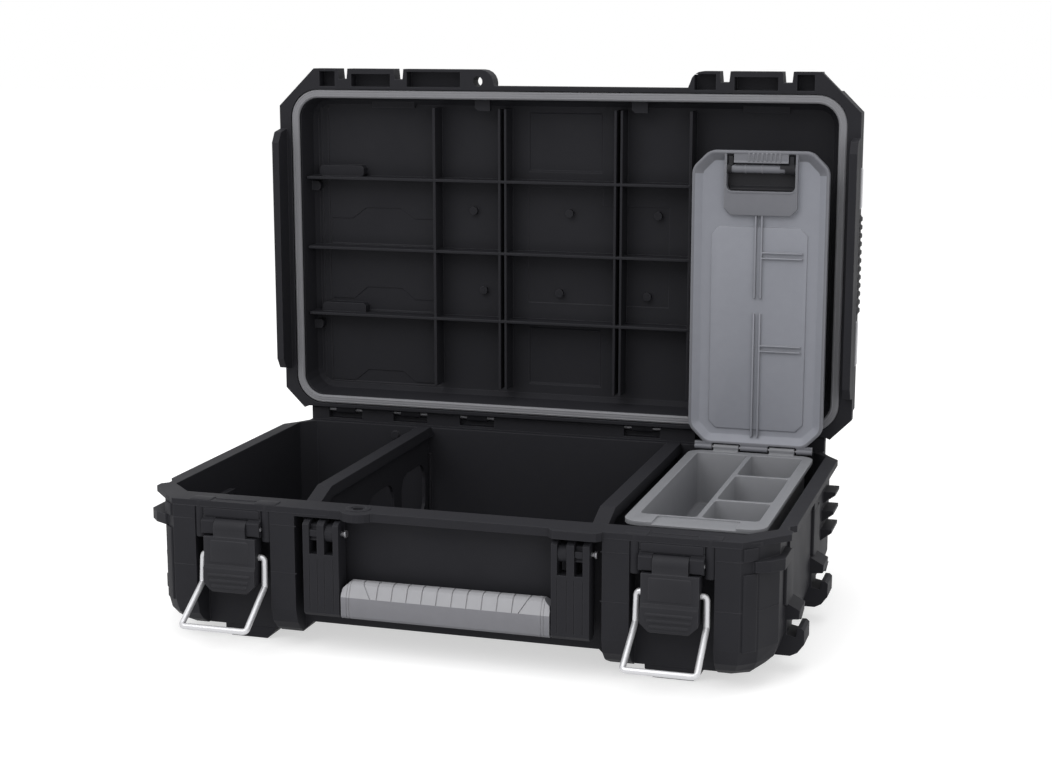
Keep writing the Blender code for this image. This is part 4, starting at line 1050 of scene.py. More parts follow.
@dataclass
class HandleGrip:
    """Soft sleeve of the carrying handle, with a lighter segmented upper face."""

    half: float = 89.1
    face: float = -176.0
    back: float = -157.5
    bottom: float = 33.0
    crease: float = 51.5
    top: float = 63.5
    section: tuple[tuple[Span, Span], ...] = (
        ((-176.0, 51.5), (-10.0, 4.8)), ((-171.2, 61.5), (-2.0, 3.4)), ((-157.5, 58.0), (5.0, 4.2)),
        ((-176.0, 35.2), (-2.2, -2.2)), ((-157.5, 35.5), (2.5, -2.5)))
    end_slopes: tuple[tuple[Span, Span], ...] = (((0.0, 3.0), (11.0, 1.8)),
                                                 ((1.2, 7.5), (8.0, 9.0)))
    edges: Span = (1.6, 0.9)
    seams: tuple[float, ...] = (81.9, 84.3)
    seam: Span = (0.6, 0.4)
    first_groove: float = 57.8
    groove_pitch: float = 12.85
    groove_count: int = 10
    groove: Span = (0.9, 0.75)
    slant_start: float = 63.4
    slant: Span = (0.84, 0.54)
    bar: tuple[Span, Span] = ((-171.85, -161.15), (38.15, 57.35))

    def build(self, fitter: Fitter) -> None:
        """Model the sleeve and fit it.

        Args:
            fitter: fits it to the tool box.
        """
        item = Bench.block("grip_sleeve", (-self.half, self.face, self.bottom),
                           (self.half, self.back, self.top))
        self._shape(item)
        self._grooves(item)
        fitter.shop.dress_two(item, Palette.GRIP, Palette.GRIP_TOP,
                              lambda m, n: m.z > self.crease + 0.4 and abs(n.x) < 0.6)
        (y0, y1), (z0, z1) = self.bar
        Bench.carve(item, Bench.block("bar_room", (-self.half - 5.0, y0, z0),
                                      (self.half + 5.0, y1, z1)))
        fitter.fit(item, Body.HANDLE, Palette.GRIP, ("handle_grip",), 28.0)

    def _shape(self, item: Item) -> None:
        """Shape the section: a sloping upper face, eased edges and tapered ends.

        Args:
            item: the sleeve.
        """
        for (y, z), (out, up) in self.section:
            Bench.shave(item, (0.0, y, z), (0.0, out, up))
        for (inward, rise), (out, up) in self.end_slopes:
            for side in (-1, 1):
                Bench.shave(item, (side * (self.half - inward), 0.0, self.crease + rise),
                            (side * out, 0.0, up))
        upper, lower = self.edges
        lengthwise = along("x", 100.0)
        Bench.round_off(item, lambda a, b: min(a.z, b.z) > self.crease + 3.0 and lengthwise(a, b)
                        and abs(a.z - b.z) < 0.01, upper)
        Bench.round_off(item, lambda a, b: max(a.z, b.z) < self.crease - 5.0 and lengthwise(a, b),
                        lower)

    def _upper(self, middle: Vector, normal: Vector) -> bool:
        """Tell whether a face belongs to the sloping upper face."""
        return middle.z > self.crease + 0.4 and abs(normal.x) < 0.3

    def _grooves(self, item: Item) -> None:
        """Cut the straight grooves, the slanted end lines and the end seams.

        Args:
            item: the sleeve.
        """
        spots = [-self.first_groove + index * self.groove_pitch
                 for index in range(self.groove_count)]
        slant = Vector((self.slant[0], 0.0, self.slant[1])).normalized()
        width, depth = self.groove
        for x in spots:
            Bench.band(item, (x, 0.0, 0.0), X_AXIS, width, self._upper)
        for side in (-1, 1):
            Bench.band(item, (side * self.slant_start, self.face, self.crease),
                       (side * slant.x, 0.0, -slant.z),
                       width, lambda m, n: self._upper(m, n) and side * m.x > 60.0)
        Bench.swell(item, lambda m, n: self._in_groove(m, n, spots, slant), -depth)
        width, depth = self.seam
        for x in self.seams:
            for side in (-1, 1):
                Bench.band(item, (side * x, 0.0, 0.0), (side, 0.0, 0.0), width,
                           lambda m, n: abs(n.x) < 0.3)
        Bench.swell(item, lambda m, n: abs(n.x) < 0.3
                    and any(abs(abs(m.x) - x) < 0.25 for x in self.seams),
                    -depth)

    def _in_groove(self, middle: Vector, normal: Vector, spots: Sequence[float],
                   slant: Vector) -> bool:
        """Tell whether a face lies between the lines of a groove.

        Args:
            middle: middle of the face.
            normal: its normal.
            spots: places of the straight grooves on X.
            slant: direction across the slanted lines.

        Returns:
            Whether it does.
        """
        near = 0.45 * self.groove[0]
        if not self._upper(middle, normal):
            return False
        if any(abs(middle.x - x) < near for x in spots):
            return True
        inward, rise = abs(middle.x) - self.slant_start, middle.z - self.crease
        return abs(inward * slant.x - rise * slant.z) < near


@dataclass
class LidGasket:
    """Bead round the lid's edge, with a fine channel along its crown."""

    hinge: Span = (166.4, 133.6)
    half_x: float = 266.5
    s: Span = (11.6, 313.8)
    corner: float = 24.0
    half_width: float = 4.0
    t: Span = (-10.1, -5.35)
    segments: int = 48
    channel: Span = (0.15, 0.45)

    def build(self, fitter: Fitter) -> None:
        """Stretch a ring to the rounded oblong of the seat, flatten it and fit it.

        Args:
            fitter: fits it to the tool box.
        """
        y = self.hinge[0] + sum(self.t) / 2
        z = self.hinge[1] + sum(self.s) / 2
        bpy.ops.object.select_all(action="DESELECT")
        bpy.ops.mesh.primitive_torus_add(
            location=(0.0, y * MM, z * MM), rotation=(math.pi / 2, 0.0, 0.0),
            major_segments=self.segments, minor_segments=self.segments // 2,
            major_radius=self.corner * MM, minor_radius=self.half_width * MM)
        item = bpy.context.object
        item.name = item.data.name = "lid_seal"
        item.rotation_euler.y = math.pi / self.segments
        bpy.ops.object.transform_apply(location=True, rotation=True, scale=True)
        reach_x = self.half_x - self.corner
        reach_z = (self.s[1] - self.s[0]) / 2 - self.corner
        for side_x in (-1, 1):
            for side_z in (-1, 1):
                with Bench.shaping(item, "EDGE"):
                    Bench.edges(item, lambda a, b: all(side_x * end.x > 0.0
                                                       and side_z * (end.z - z) > 0.0
                                                       for end in (a, b)))
                    bpy.ops.transform.translate(value=(side_x * reach_x * MM, 0.0,
                                                       side_z * reach_z * MM))
        with Bench.shaping(item):
            bpy.ops.mesh.select_all(action="SELECT")
            flat = (self.t[1] - self.t[0]) / 2 / self.half_width
            bpy.ops.transform.resize(value=(1.0, flat, 1.0), center_override=(0.0, y * MM, z * MM))
        Bench.inset(item, lambda m, n: n.y < -0.93, self.channel[0], -self.channel[1])
        fitter.fit(item, Body.LID, Palette.GASKET, ("lid_gasket",), 50.0)


@dataclass
class SideTread:
    """Ribbed rubber pads on the lid's sides."""

    outer: float = 279.9
    inner: float = 278.05
    z: Span = (247.6, 340.6)
    y: Span = (178.4, 202.4)
    ridges: int = 12
    land: Span = (0.16, 0.84)
    taper: float = 1.0
    rise: float = 1.5
    ease: float = 0.35

    def build(self, fitter: Fitter) -> None:
        """Model the right pad, mirror it and fit both.

        Args:
            fitter: fits them to the tool box.
        """
        right = Bench.block("tread_right", (self.inner, self.y[0], self.z[0]),
                            (self.outer, self.y[1], self.z[1]))
        pitch = (self.z[1] - self.z[0]) / self.ridges
        starts = [self.z[0] + index * pitch for index in range(self.ridges)]
        for start in starts:
            for share in self.land:
                Bench.score(right, (0.0, 0.0, start + share * pitch), Z_AXIS,
                            lambda m, n: n.x > 0.9)
        middles = [start + pitch / 2 for start in starts]
        with Bench.shaping(right):
            Bench.faces(right, lambda m, n: n.x > 0.9
                        and any(abs(m.z - z) < 0.3 * pitch for z in middles))
            bpy.ops.mesh.inset(thickness=self.taper * MM, depth=self.rise * MM, use_individual=True)
        Bench.soften(right, self.ease, 2, 25.0)
        left = Bench.copy(right, "tread_left", mirror=True)
        fitter.fit(right, Body.LID, Palette.TREAD, ("lid_tread_pad_right",))
        fitter.fit(left, Body.LID, Palette.TREAD, ("lid_tread_pad_left",))


@dataclass
class LatchLever:
    """Toggle lever: a knuckle tab, a broad body with a faint panel and a stepped thumb end."""

    half: float = 23.2
    pivot: Span = (-172.0, 101.9)
    pivot_bore: float = 2.35
    face: float = -179.0
    back: float = -166.0
    bottom: float = 47.3
    shoulder: float = 94.6
    lip: float = 70.3
    proud: float = 2.4
    corner: Span = (7.5, 8.0)
    lip_edge: float = 2.2
    thumb_edge: float = 2.0
    tab_half: float = 14.3
    tab_radius: float = 6.98
    web: Span = (0.3, 0.4)
    ease: float = 0.7
    panel: tuple[float, Span] = (16.9, (72.6, 91.6))
    panel_rise: float = 0.45
    panel_corner: float = 1.4
    fine_edge: float = 0.3
    steps: tuple[Span, ...] = ((62.6, 18.8), (57.6, 17.6), (52.9, 15.6))
    step: Span = (0.9, 1.1)
    step_slope: Span = (-0.6, 1.2)
    socket: Span = (16.7, 26.5)
    socket_radius: float = 3.0

    def build(self, fitter: Fitter) -> None:
        """Model the right lever, copy it to the left and fit both.

        Args:
            fitter: fits them to the tool box.
        """
        right = self._body()
        self._trim(right)
        self._bores(right)
        left = Bench.copy(right, "lever_left", (-2.0 * LATCH_X, 0.0, 0.0))
        fitter.fit(right, Body.LEVER_RIGHT, Palette.LEVER, ("latch_lever_right",))
        fitter.fit(left, Body.LEVER_LEFT, Palette.LEVER, ("latch_lever_left",))

    def _body(self) -> Item:
        """Model the plate, its thicker thumb end and the knuckle tab as one.

        Returns:
            The lever's body.
        """
        c, h = LATCH_X, self.half
        front = self.face - self.proud + 0.1
        body = Bench.block("lever_right", (c - h, self.face, self.bottom),
                           (c + h, self.back, self.shoulder))
        Bench.score(body, (0.0, 0.0, self.lip), Z_AXIS, lambda m, n: n.y < -0.9)
        Bench.push(body, lambda m, n: n.y < -0.9 and m.z < self.lip, (0.0, -self.proud, 0.0))
        out, up = self.corner
        for side in (-1, 1):
            Bench.shave(body, (c + side * h, 0.0, self.bottom + out), (side * out, 0.0, -up))
        Bench.round_off(body, lambda a, b: max(a.y, b.y) < front and min(a.z, b.z) > self.lip - 0.1,
                        self.lip_edge, 1)
        Bench.round_off(body, lambda a, b: max(a.y, b.y) < front
                        and max(a.z, b.z) < self.bottom + 0.1,
                        self.thumb_edge, 2)
        reach = (c - self.tab_half, c + self.tab_half)
        web = Bench.block("web", (reach[0], self.face + self.web[0], self.shoulder - 3.0),
                          (reach[1], self.back - self.web[1], self.pivot[1]))
        Bench.fuse(body, web, Bench.rod("tab", "x", self.pivot, self.tab_radius, reach, 48))
        Bench.soften(body, self.ease, 3, 38.0)
        return body

    def _trim(self, item: Item) -> None:
        """Add the faint raised panel and the three thumb steps.

        Args:
            item: the lever.
        """
        c, (half, (low, high)) = LATCH_X, self.panel
        panel = Bench.block("panel", (c - half, self.face - self.panel_rise, low),
                            (c + half, self.face + 1.0, high))
        Bench.round_off(panel, along("y", 1.0), self.panel_corner)
        Bench.round_off(panel, below("y", self.face), self.fine_edge, 2)
        Bench.fuse(item, panel)
        rise, tall = self.step
        thumb = self.face - self.proud
        for z, half in self.steps:
            step = Bench.block("step", (c - half, thumb - rise, z - tall),
                               (c + half, thumb + 1.0, z + tall))
            Bench.shave(step, (0.0, thumb - rise, z + 0.5), (0.0, *self.step_slope))
            Bench.round_off(step, below("y", thumb), self.fine_edge, 2)
            Bench.fuse(item, step)

    def _bores(self, item: Item) -> None:
        """Bore the pivot and the two sockets of the bail.

        Args:
            item: the lever.
        """
        c = LATCH_X
        Bench.carve(item, Bench.rod("bore", "x", self.pivot, self.pivot_bore, (c - 30.0, c + 30.0)))
        for side in (-1, 1):
            low, high = sorted(c + side * reach for reach in self.socket)
            Bench.carve(item, Bench.rod("bore", "x", BAIL_PIVOT, self.socket_radius, (low, high)))


@dataclass
class WireBail:
    """Bent wire bail of a latch."""

    radius: float = 2.6
    turned_in: float = 18.2
    half: float = 28.0
    splay: float = 1.2
    kink: Span = (-1.8, -24.4)
    bar: Span = (-42.0, -51.0)

    def build(self, fitter: Fitter) -> None:
        """Bend the right bail, copy it to the left and fit both.

        Args:
            fitter: fits them to the tool box.
        """
        y, z = BAIL_PIVOT
        side = [(self.turned_in, y, z), (self.half, y, z),
                (self.half + self.splay / 3, y + self.kink[0], z + self.kink[1]),
                (self.half + self.splay, y + self.bar[0], z + self.bar[1])]
        points = [(LATCH_X + px, py, pz) for px, py, pz in side]
        points += [(LATCH_X - px, py, pz) for px, py, pz in reversed(side)]
        right = Bench.wire("bail_right", eased(points, self.radius + 0.9), self.radius, 6)
        left = Bench.copy(right, "bail_left", (-2.0 * LATCH_X, 0.0, 0.0))
        fitter.fit(right, Body.BAIL_RIGHT, Palette.WIRE, ("latch_bail_right",), 50.0)
        fitter.fit(left, Body.BAIL_LEFT, Palette.WIRE, ("latch_bail_left",), 50.0)


@dataclass(frozen=True)
class Organizer:
    """Sizes that the small-parts bin, its cover and the cover's latch share."""

    hinge: Span = (134.0, 127.4)
    barrel: float = 2.7
    bin_knuckles: tuple[Span, ...] = ((159.0, 182.0), (211.0, 234.0))
    window: Span = (166.0, 228.5)
    bar: Span = (136.5, 385.5)
    top: float = 401.9


ORGANIZER = Organizer()


@dataclass
class PartsBin:
    """Lift-out bin with one long and three short cells under a broad rim."""

    rim_x: Span = (137.5, 253.0)
    rim_y: Span = (-136.0, 131.0)
    rim_z: Span = (120.4, 124.4)
    corner: float = 14.0
    tub: tuple[Span, Span, Span] = ((144.1, 246.4), (-113.4, 122.4), (72.4, 121.4))
    tub_corner: float = 6.0
    floor: float = 75.0
    cells: tuple[tuple[Span, Span], ...] = (
        ((146.5, 193.25), (-111.0, 120.0)), ((197.25, 244.0), (-111.0, -52.0)),
        ((197.25, 244.0), (-48.0, 38.5)), ((197.25, 244.0), (42.0, 120.0)))
    cell_corner: float = 5.0
    bottom_edge: float = 2.5
    recess_x: Span = (162.0, 230.0)
    recess_back: float = -112.6
    recess_depth: float = 2.0
    recess_corner: float = 3.0
    ease: float = 0.9
    foot_gap: float = 0.2
    sole_drop: float = 3.4
    bore: float = 1.5

    def build(self, fitter: Fitter) -> None:
        """Model the bin and fit it.

        Args:
            fitter: fits it to the tool box.
        """
        (x0, x1), (y0, y1), (z0, z1) = self.rim_x, self.rim_y, self.rim_z
        item = Bench.block("parts_bin", (x0, y0, z0), (x1, y1, z1))
        Bench.round_off(item, along("z", 2.0), self.corner, 7)
        Bench.fuse(item, self._box("tub", *self.tub, self.tub_corner))
        for x, y in self.cells:
            Bench.carve(item, self._box("cell", x, y, (self.floor, z1 + 5.0), self.cell_corner))
        recess = Bench.block("recess", (self.recess_x[0], y0 - 4.0, z1 - self.recess_depth),
                             (self.recess_x[1], self.recess_back, z1 + 5.0))
        Bench.round_off(recess, along("z", 2.0), self.recess_corner, 4)
        Bench.carve(item, recess)
        Bench.soften(item, self.ease, 3, 40.0)
        y, z = ORGANIZER.hinge
        back = y - self.foot_gap
        for low, high in ORGANIZER.bin_knuckles:
            sole = Bench.block("sole", (low, y1 - 3.0, z1 - self.sole_drop), (high, back, z1 + 0.5))
            foot = Bench.block("foot", (low, y1 + 0.4, z1), (high, back, z))
            Bench.fuse(item, sole, foot,
                       Bench.rod("barrel", "x", (y, z), ORGANIZER.barrel, (low, high), 24))
        Bench.carve(item, Bench.rod("bore", "x", (y, z), self.bore, (x0 - 2.5, x1 + 5.0), 16))
        fitter.fit(item, Body.BIN, Palette.BIN, ("organizer_bin",))

    def _box(self, name: str, x: Span, y: Span, z: Span, corner: float) -> Item:
        """Add a box with rounded upright edges and a rounded bottom.

        Args:
            name: name of the box.
            x: where it starts and stops on X.
            y: where it starts and stops on Y.
            z: where it starts and stops on Z.
            corner: rounding of its upright edges.

        Returns:
            The box.
        """
        box = Bench.block(name, (x[0], y[0], z[0]), (x[1], y[1], z[1]))
        Bench.round_off(box, along("z", 10.0), corner, 5)
        Bench.round_off(box, below("z", z[0] + 0.1), self.bottom_edge, 3)
        return box


@dataclass
class BinCover:
    """Hinged cover of the small-parts bin: a rimmed tray with ribs, a window and a round bar."""

    x: Span = (134.5, 259.0)
    y: Span = (132.0, 140.0)
    bottom: float = 130.6
    corners: tuple[tuple[float, int], ...] = ((16.0, 1), (5.0, 4))
    rim: float = 2.3
    slope: Span = (6.6, 5.4)
    ease: float = 0.5
    panel: tuple[Span, Span] = ((152.5, 240.5), (145.0, 333.0))
    panel_rise: float = 1.3
    panel_edges: Span = (7.0, 0.9)
    long_ribs: tuple[tuple[float, ...], tuple[Span, ...]] = ((193.3, 198.9),
                                                             ((138.6, 253.9), (267.9, 345.5)))
    cross_ribs: tuple[tuple[float, ...], Span] = ((221.9, 307.4), (199.6, 236.6))
    cross_gap: float = 2.5
    rib_halves: Span = (0.9, 0.8)
    rib_rise: float = 3.8
    fine_edge: float = 0.4
    plate_drop: float = 58.5
    plate_edges: Span = (6.0, 0.8)
    plate_past: float = 2.0
    frame: Span = (38.4, 9.4)
    frame_edges: Span = (6.5, 0.5)
    opening: Span = (36.5, 11.0)
    opening_corner: float = 5.0
    slot: Span = (16.0, 2.6)
    slot_width: float = 6.6
    grip_start: float = 19.5
    grip_pitch: float = 4.0
    grip_count: int = 8
    grip_width: float = 1.6
    bar_radius: float = 3.75
    collars: tuple[float, ...] = (17.0, 32.0)
    collar: Span = (1.0, 0.35)
    knuckles: tuple[Span, ...] = ((141.0, 157.0), (184.0, 209.0), (236.0, 250.0))
    knuckle_gap: float = 1.0
    bore: float = 1.55
    bore_x: Span = (135.0, 243.0)

    def build(self, fitter: Fitter) -> None:
        """Model the cover and fit it.

        Args:
            fitter: fits it to the tool box.
        """
        item = self._tray()
        self._ribs(item)
        self._latch_plate(item)
        self._bar(item)
        self._hinge(item)
        panel_top = ORGANIZER.top - 58.0
        fitter.shop.dress_two(item, Palette.COVER, Palette.COVER_PANEL,
                              lambda m, n: n.y < -0.5 and m.y > self.y[0] + 1.2 and m.z < panel_top)
        fitter.fit(item, Body.COVER, Palette.COVER, ("organizer_lid",))

    def _tray(self) -> Item:
        """Model the tray with its rounded corners and sloping wall.

        Returns:
            The tray.
        """
        (x0, x1), (y0, y1), (z0, z1) = self.x, self.y, (self.bottom, ORGANIZER.top)
        item = Bench.block("bin_cover", (x0, y0, z0), (x1, y1, z1))
        for width, steps in self.corners:
            Bench.round_off(item, along("y", 5.0), width, steps)
        Bench.inset(item, lambda m, n: n.y < -0.9, self.rim)
        Bench.inset(item, lambda m, n: n.y < -0.9 and x0 + 11.3 < m.x < x1 - 11.3
                    and z0 + 20.0 < m.z < z1 - 20.0,
                    self.slope[0], -self.slope[1])
        Bench.soften(item, self.ease, 2, 24.0)
        return item

    def _ribs(self, item: Item) -> None:
        """Add the raised panel and the double ribs.

        Args:
            item: the cover.
        """
        floor = self.y[0] + self.slope[1]
        (x0, x1), (z0, z1) = self.panel
        panel = Bench.block("panel", (x0, floor - self.panel_rise, z0), (x1, floor + 1.0, z1))
        Bench.round_off(panel, along("y", 1.0), self.panel_edges[0], 1)
        Bench.round_off(panel, below("y", floor), self.panel_edges[1], 3)
        Bench.fuse(item, panel)
        places, reaches = self.long_ribs
        half = self.rib_halves[0]
        for x in places:
            for z in reaches:
                self._rib(item, (x - half, x + half), z, floor)
        places, reach = self.cross_ribs
        gap, half = self.cross_gap, self.rib_halves[1]
        for z in (place + offset for place in places for offset in (-gap, gap)):
            self._rib(item, reach, (z - half, z + half), floor)

    def _rib(self, item: Item, x: Span, z: Span, floor: float) -> None:
        """Add one rib with eased edges.

        Args:
            item: the cover.
            x: where it starts and stops on X.
            z: where it starts and stops on Z.
            floor: place of the tray's floor on Y.
        """
        rib = Bench.block("rib", (x[0], floor - self.rib_rise, z[0]), (x[1], floor + 0.8, z[1]))
        Bench.round_off(rib, below("y", floor - 3.0), self.fine_edge, 2)
        Bench.fuse(item, rib)

    def _latch_plate(self, item: Item) -> None:
        """Add the plate round the window with its frame, cut the window and add the gripping ribs.

        Args:
            item: the cover.
        """
        top, (face, back) = ORGANIZER.top, self.y
        left, right = ORGANIZER.window
        low, high = left - self.plate_past, right + self.plate_past
        plate = Bench.block("plate", (low, face + 0.6, top - self.plate_drop),
                            (high, back - 0.4, top - 1.6))
        Bench.round_off(plate, lambda a, b: abs(a.y - b.y) > 5.0 and max(a.z, b.z) < top - 50.0,
                        self.plate_edges[0], 1)
        Bench.round_off(plate, lambda a, b: max(a.y, b.y) < face + 1.0
                        and max(a.z, b.z) < top - 2.0,
                        self.plate_edges[1], 3)
        frame = Bench.block("frame", (low + 0.5, face + 0.1, top - self.frame[0]),
                            (high - 0.5, face + 2.0, top - self.frame[1]))
        Bench.round_off(frame, along("y", 1.0), self.frame_edges[0], 5)
        Bench.round_off(frame, below("y", face + 0.2), self.frame_edges[1], 2)
        Bench.fuse(item, plate, frame)
        window = Bench.block("window", (left, face - 4.0, top - self.opening[0]),
                             (right, back + 4.0, top - self.opening[1]))
        Bench.round_off(window, along("y", 5.0), self.opening_corner, 5)
        Bench.carve(item, window)
        for x in (left, right - self.slot_width):
            Bench.carve(item, Bench.block("slot", (x, face - 4.0, top - self.slot[0]),
                                          (x + self.slot_width, back + 4.0, top - self.slot[1])))
        for index in range(self.grip_count):
            x = left + self.grip_start + index * self.grip_pitch
            rib = Bench.block("grip_rib", (x, face - 0.4, top - self.frame[1]),
                              (x + self.grip_width, face + 2.0, top - 2.2))
            Bench.round_off(rib, below("y", face), self.fine_edge, 2)
            Bench.fuse(item, rib)

    def _bar(self, item: Item) -> None:
        """Add the round bar with its two collars.

        Args:
            item: the cover.
        """
        left, right = ORGANIZER.window
        bar = Bench.rod("bar", "x", ORGANIZER.bar, self.bar_radius, (left - 1.5, right + 1.5), 40)
        for x in (left + offset for offset in self.collars):
            Bench.band(bar, (x, 0.0, 0.0), X_AXIS, self.collar[0], lambda m, n: abs(n.x) < 0.5)
            Bench.swell(bar, lambda m, n: abs(n.x) < 0.5 and abs(m.x - x) < 0.4, self.collar[1])
        Bench.fuse(item, bar)

    def _hinge(self, item: Item) -> None:
        """Add the knuckles, clear the bin's own and bore for the pin.

        Args:
            item: the cover.
        """
        bottom, (y, z) = self.bottom, ORGANIZER.hinge
        for low, high in self.knuckles:
            foot = Bench.block("foot", (low, y - 1.9, bottom - 3.2), (high, y + 2.7, bottom + 1.5))
            Bench.fuse(foot, Bench.rod("barrel", "x", (y, z), ORGANIZER.barrel, (low, high), 24))
            Bench.fuse(item, foot)
        for low, high in ORGANIZER.bin_knuckles:
            Bench.carve(item, Bench.block("room",
                                          (low - self.knuckle_gap, self.y[0] - 4.0, bottom - 9.0),
                                          (high + self.knuckle_gap, self.y[1] + 0.6, bottom + 0.7)))
        Bench.carve(item, Bench.rod("bore", "x", (y, z), self.bore, self.bore_x, 16))


@dataclass
class SnapLatch:
    """Black snap latch of the cover, with a scoop below the bar and a notched disc at its right."""

    plate: Span = (140.6, 143.4)
    plate_drop: float = 38.0
    plate_corner: float = 4.0
    discs: Span = (4.4, 14.0)
    radius: float = 5.0
    disc_edge: float = 0.5
    clear: float = 4.1
    leg_edge: float = 0.8
    legs: tuple[Span, Span] = ((1.4, 5.9), (133.6, 142.2))
    scoop: tuple[float, Span] = (137.4, (36.2, 31.0))
    scoop_slope: Span = (-3.0, 3.4)
    scoop_edge: float = 0.7
    bite: tuple[Span, Span, Span] = ((14.5, 9.5), (9.0, 1.5), (4.2, 0.6))

    def build(self, fitter: Fitter) -> None:
        """Model the latch and fit it.

        Args:
            fitter: fits it to the tool box.
        """
        (x0, x1), (by, bz) = ORGANIZER.window, ORGANIZER.bar
        item = Bench.block("snap_latch", (x0 + 1.0, self.plate[0], ORGANIZER.top - self.plate_drop),
                           (x1 - 1.0, self.plate[1], bz + 2.0))
        Bench.round_off(item, lambda a, b: abs(a.y - b.y) > 1.0 and max(a.z, b.z) < bz,
                        self.plate_corner, 4)
        Bench.fuse(item, *self._cheeks(x0, x1), *self._legs(x0, x1), self._scoop(x0, x1))
        Bench.carve(item, Bench.rod("bore", "x", (by, bz), self.clear, (x0 - 5.0, x1 - 8.5), 40))
        (left, right), (front, back), (low, high) = self.bite
        Bench.carve(item, Bench.block("bite", (x1 - left, by - front, bz - low),
                                      (x1 - right, by - back, bz + high)))
        fitter.fit(item, Body.COVER_LATCH, Palette.SNAP, ("organizer_latch",))

    def _cheeks(self, x0: float, x1: float) -> list[Item]:
        """Model the two discs round the bar and the cheeks that carry them.

        Args:
            x0: left end of the window.
            x1: right end of the window.

        Returns:
            The four pieces.
        """
        y, z = ORGANIZER.bar
        parts = []
        for reach in ((x0 + 0.6, x0 + self.discs[0]), (x1 - self.discs[1], x1 - 0.6)):
            disc = Bench.rod("disc", "x", (y, z), self.radius, reach, 40)
            Bench.round_off(disc, lambda a, b: abs(a.x - b.x) < 0.01 and (a - b).length < 2.0,
                            self.disc_edge, 2)
            parts.append(disc)
            parts.append(Bench.block("cheek", (reach[0] + 0.3, y + 1.0, z - 5.0),
                                     (reach[1] - 0.3, self.plate[1] - 0.6, z + 1.6)))
        return parts

    def _legs(self, x0: float, x1: float) -> list[Item]:
        """Model the two legs that pass through the side slots.

        Args:
            x0: left end of the window.
            x1: right end of the window.

        Returns:
            The legs.
        """
        parts = []
        (near, far), (front, back) = self.legs
        for low, high in ((x0 + near, x0 + far), (x1 - far, x1 - near)):
            leg = Bench.block("leg", (low, front, ORGANIZER.bar[1] + 0.5),
                              (high, back, ORGANIZER.top - 4.6))
            Bench.round_off(leg, below("y", front + 0.4), self.leg_edge, 2)
            parts.append(leg)
        return parts

    def _scoop(self, x0: float, x1: float) -> Item:
        """Model the scoop below the bar, which a finger pulls.

        Args:
            x0: left end of the window.
            x1: right end of the window.

        Returns:
            The scoop.
        """
        face, (low, high) = self.scoop
        scoop = Bench.block("scoop", (x0 + 2.0, face, ORGANIZER.top - low),
                            (x1 - 2.0, self.plate[0] + 1.0, ORGANIZER.top - high))
        Bench.shave(scoop, (0.0, face, ORGANIZER.top - low + 1.6), (0.0, *self.scoop_slope))
        Bench.round_off(scoop, lambda a, b: abs(a.x - b.x) > 20.0 and max(a.y, b.y) < face + 1.1,
                        self.scoop_edge, 3)
        return scoop


@dataclass
class LatchColumns:
    """Round columns that stand beside each latch's ears."""

    away: float = 30.05
    y: float = -168.35
    z: Span = (91.3, 122.8)
    radius: float = 4.0
    widen: float = 1.15
    ease: float = 1.2

    def build(self, fitter: Fitter) -> None:
        """Model one column and copy it to its four places.

        Args:
            fitter: fits them to the tool box.
        """
        places = [side * (LATCH_X + step * self.away) for side in (-1, 1) for step in (-1, 1)]
        first = Bench.rod("latch_column_1", "z", (places[0], self.y), self.radius, self.z, 40)
        with Bench.shaping(first):
            bpy.ops.mesh.select_all(action="SELECT")
            bpy.ops.transform.resize(value=(self.widen, 1.0, 1.0),
                                     center_override=(places[0] * MM, self.y * MM, self.z[0] * MM))
        Bench.soften(first, self.ease, 4, 50.0)
        columns = [first]
        for index, x in enumerate(places[1:], 2):
            columns.append(Bench.copy(first, f"latch_column_{index}", (x - places[0], 0.0, 0.0)))
        fitter.relief(*columns)


@dataclass
class LatchLintels:
    """Raised plates over the latches' ears."""

    half: float = 24.9
    y: Span = (-172.9, -170.5)
    z: Span = (110.4, 117.5)
    corner: float = 1.6
    ease: float = 0.5

    def build(self, fitter: Fitter) -> None:
        """Model the right plate and mirror it.

        Args:
            fitter: fits them to the tool box.
        """
        right = Bench.block("latch_lintel_right", (LATCH_X - self.half, self.y[0], self.z[0]),
                            (LATCH_X + self.half, self.y[1], self.z[1]))
        Bench.round_off(right, along("y", 1.0), self.corner, 4)
        Bench.round_off(right, below("y", self.y[0] + 0.1), self.ease, 3)
        fitter.relief(right, Bench.copy(right, "latch_lintel_left", mirror=True))


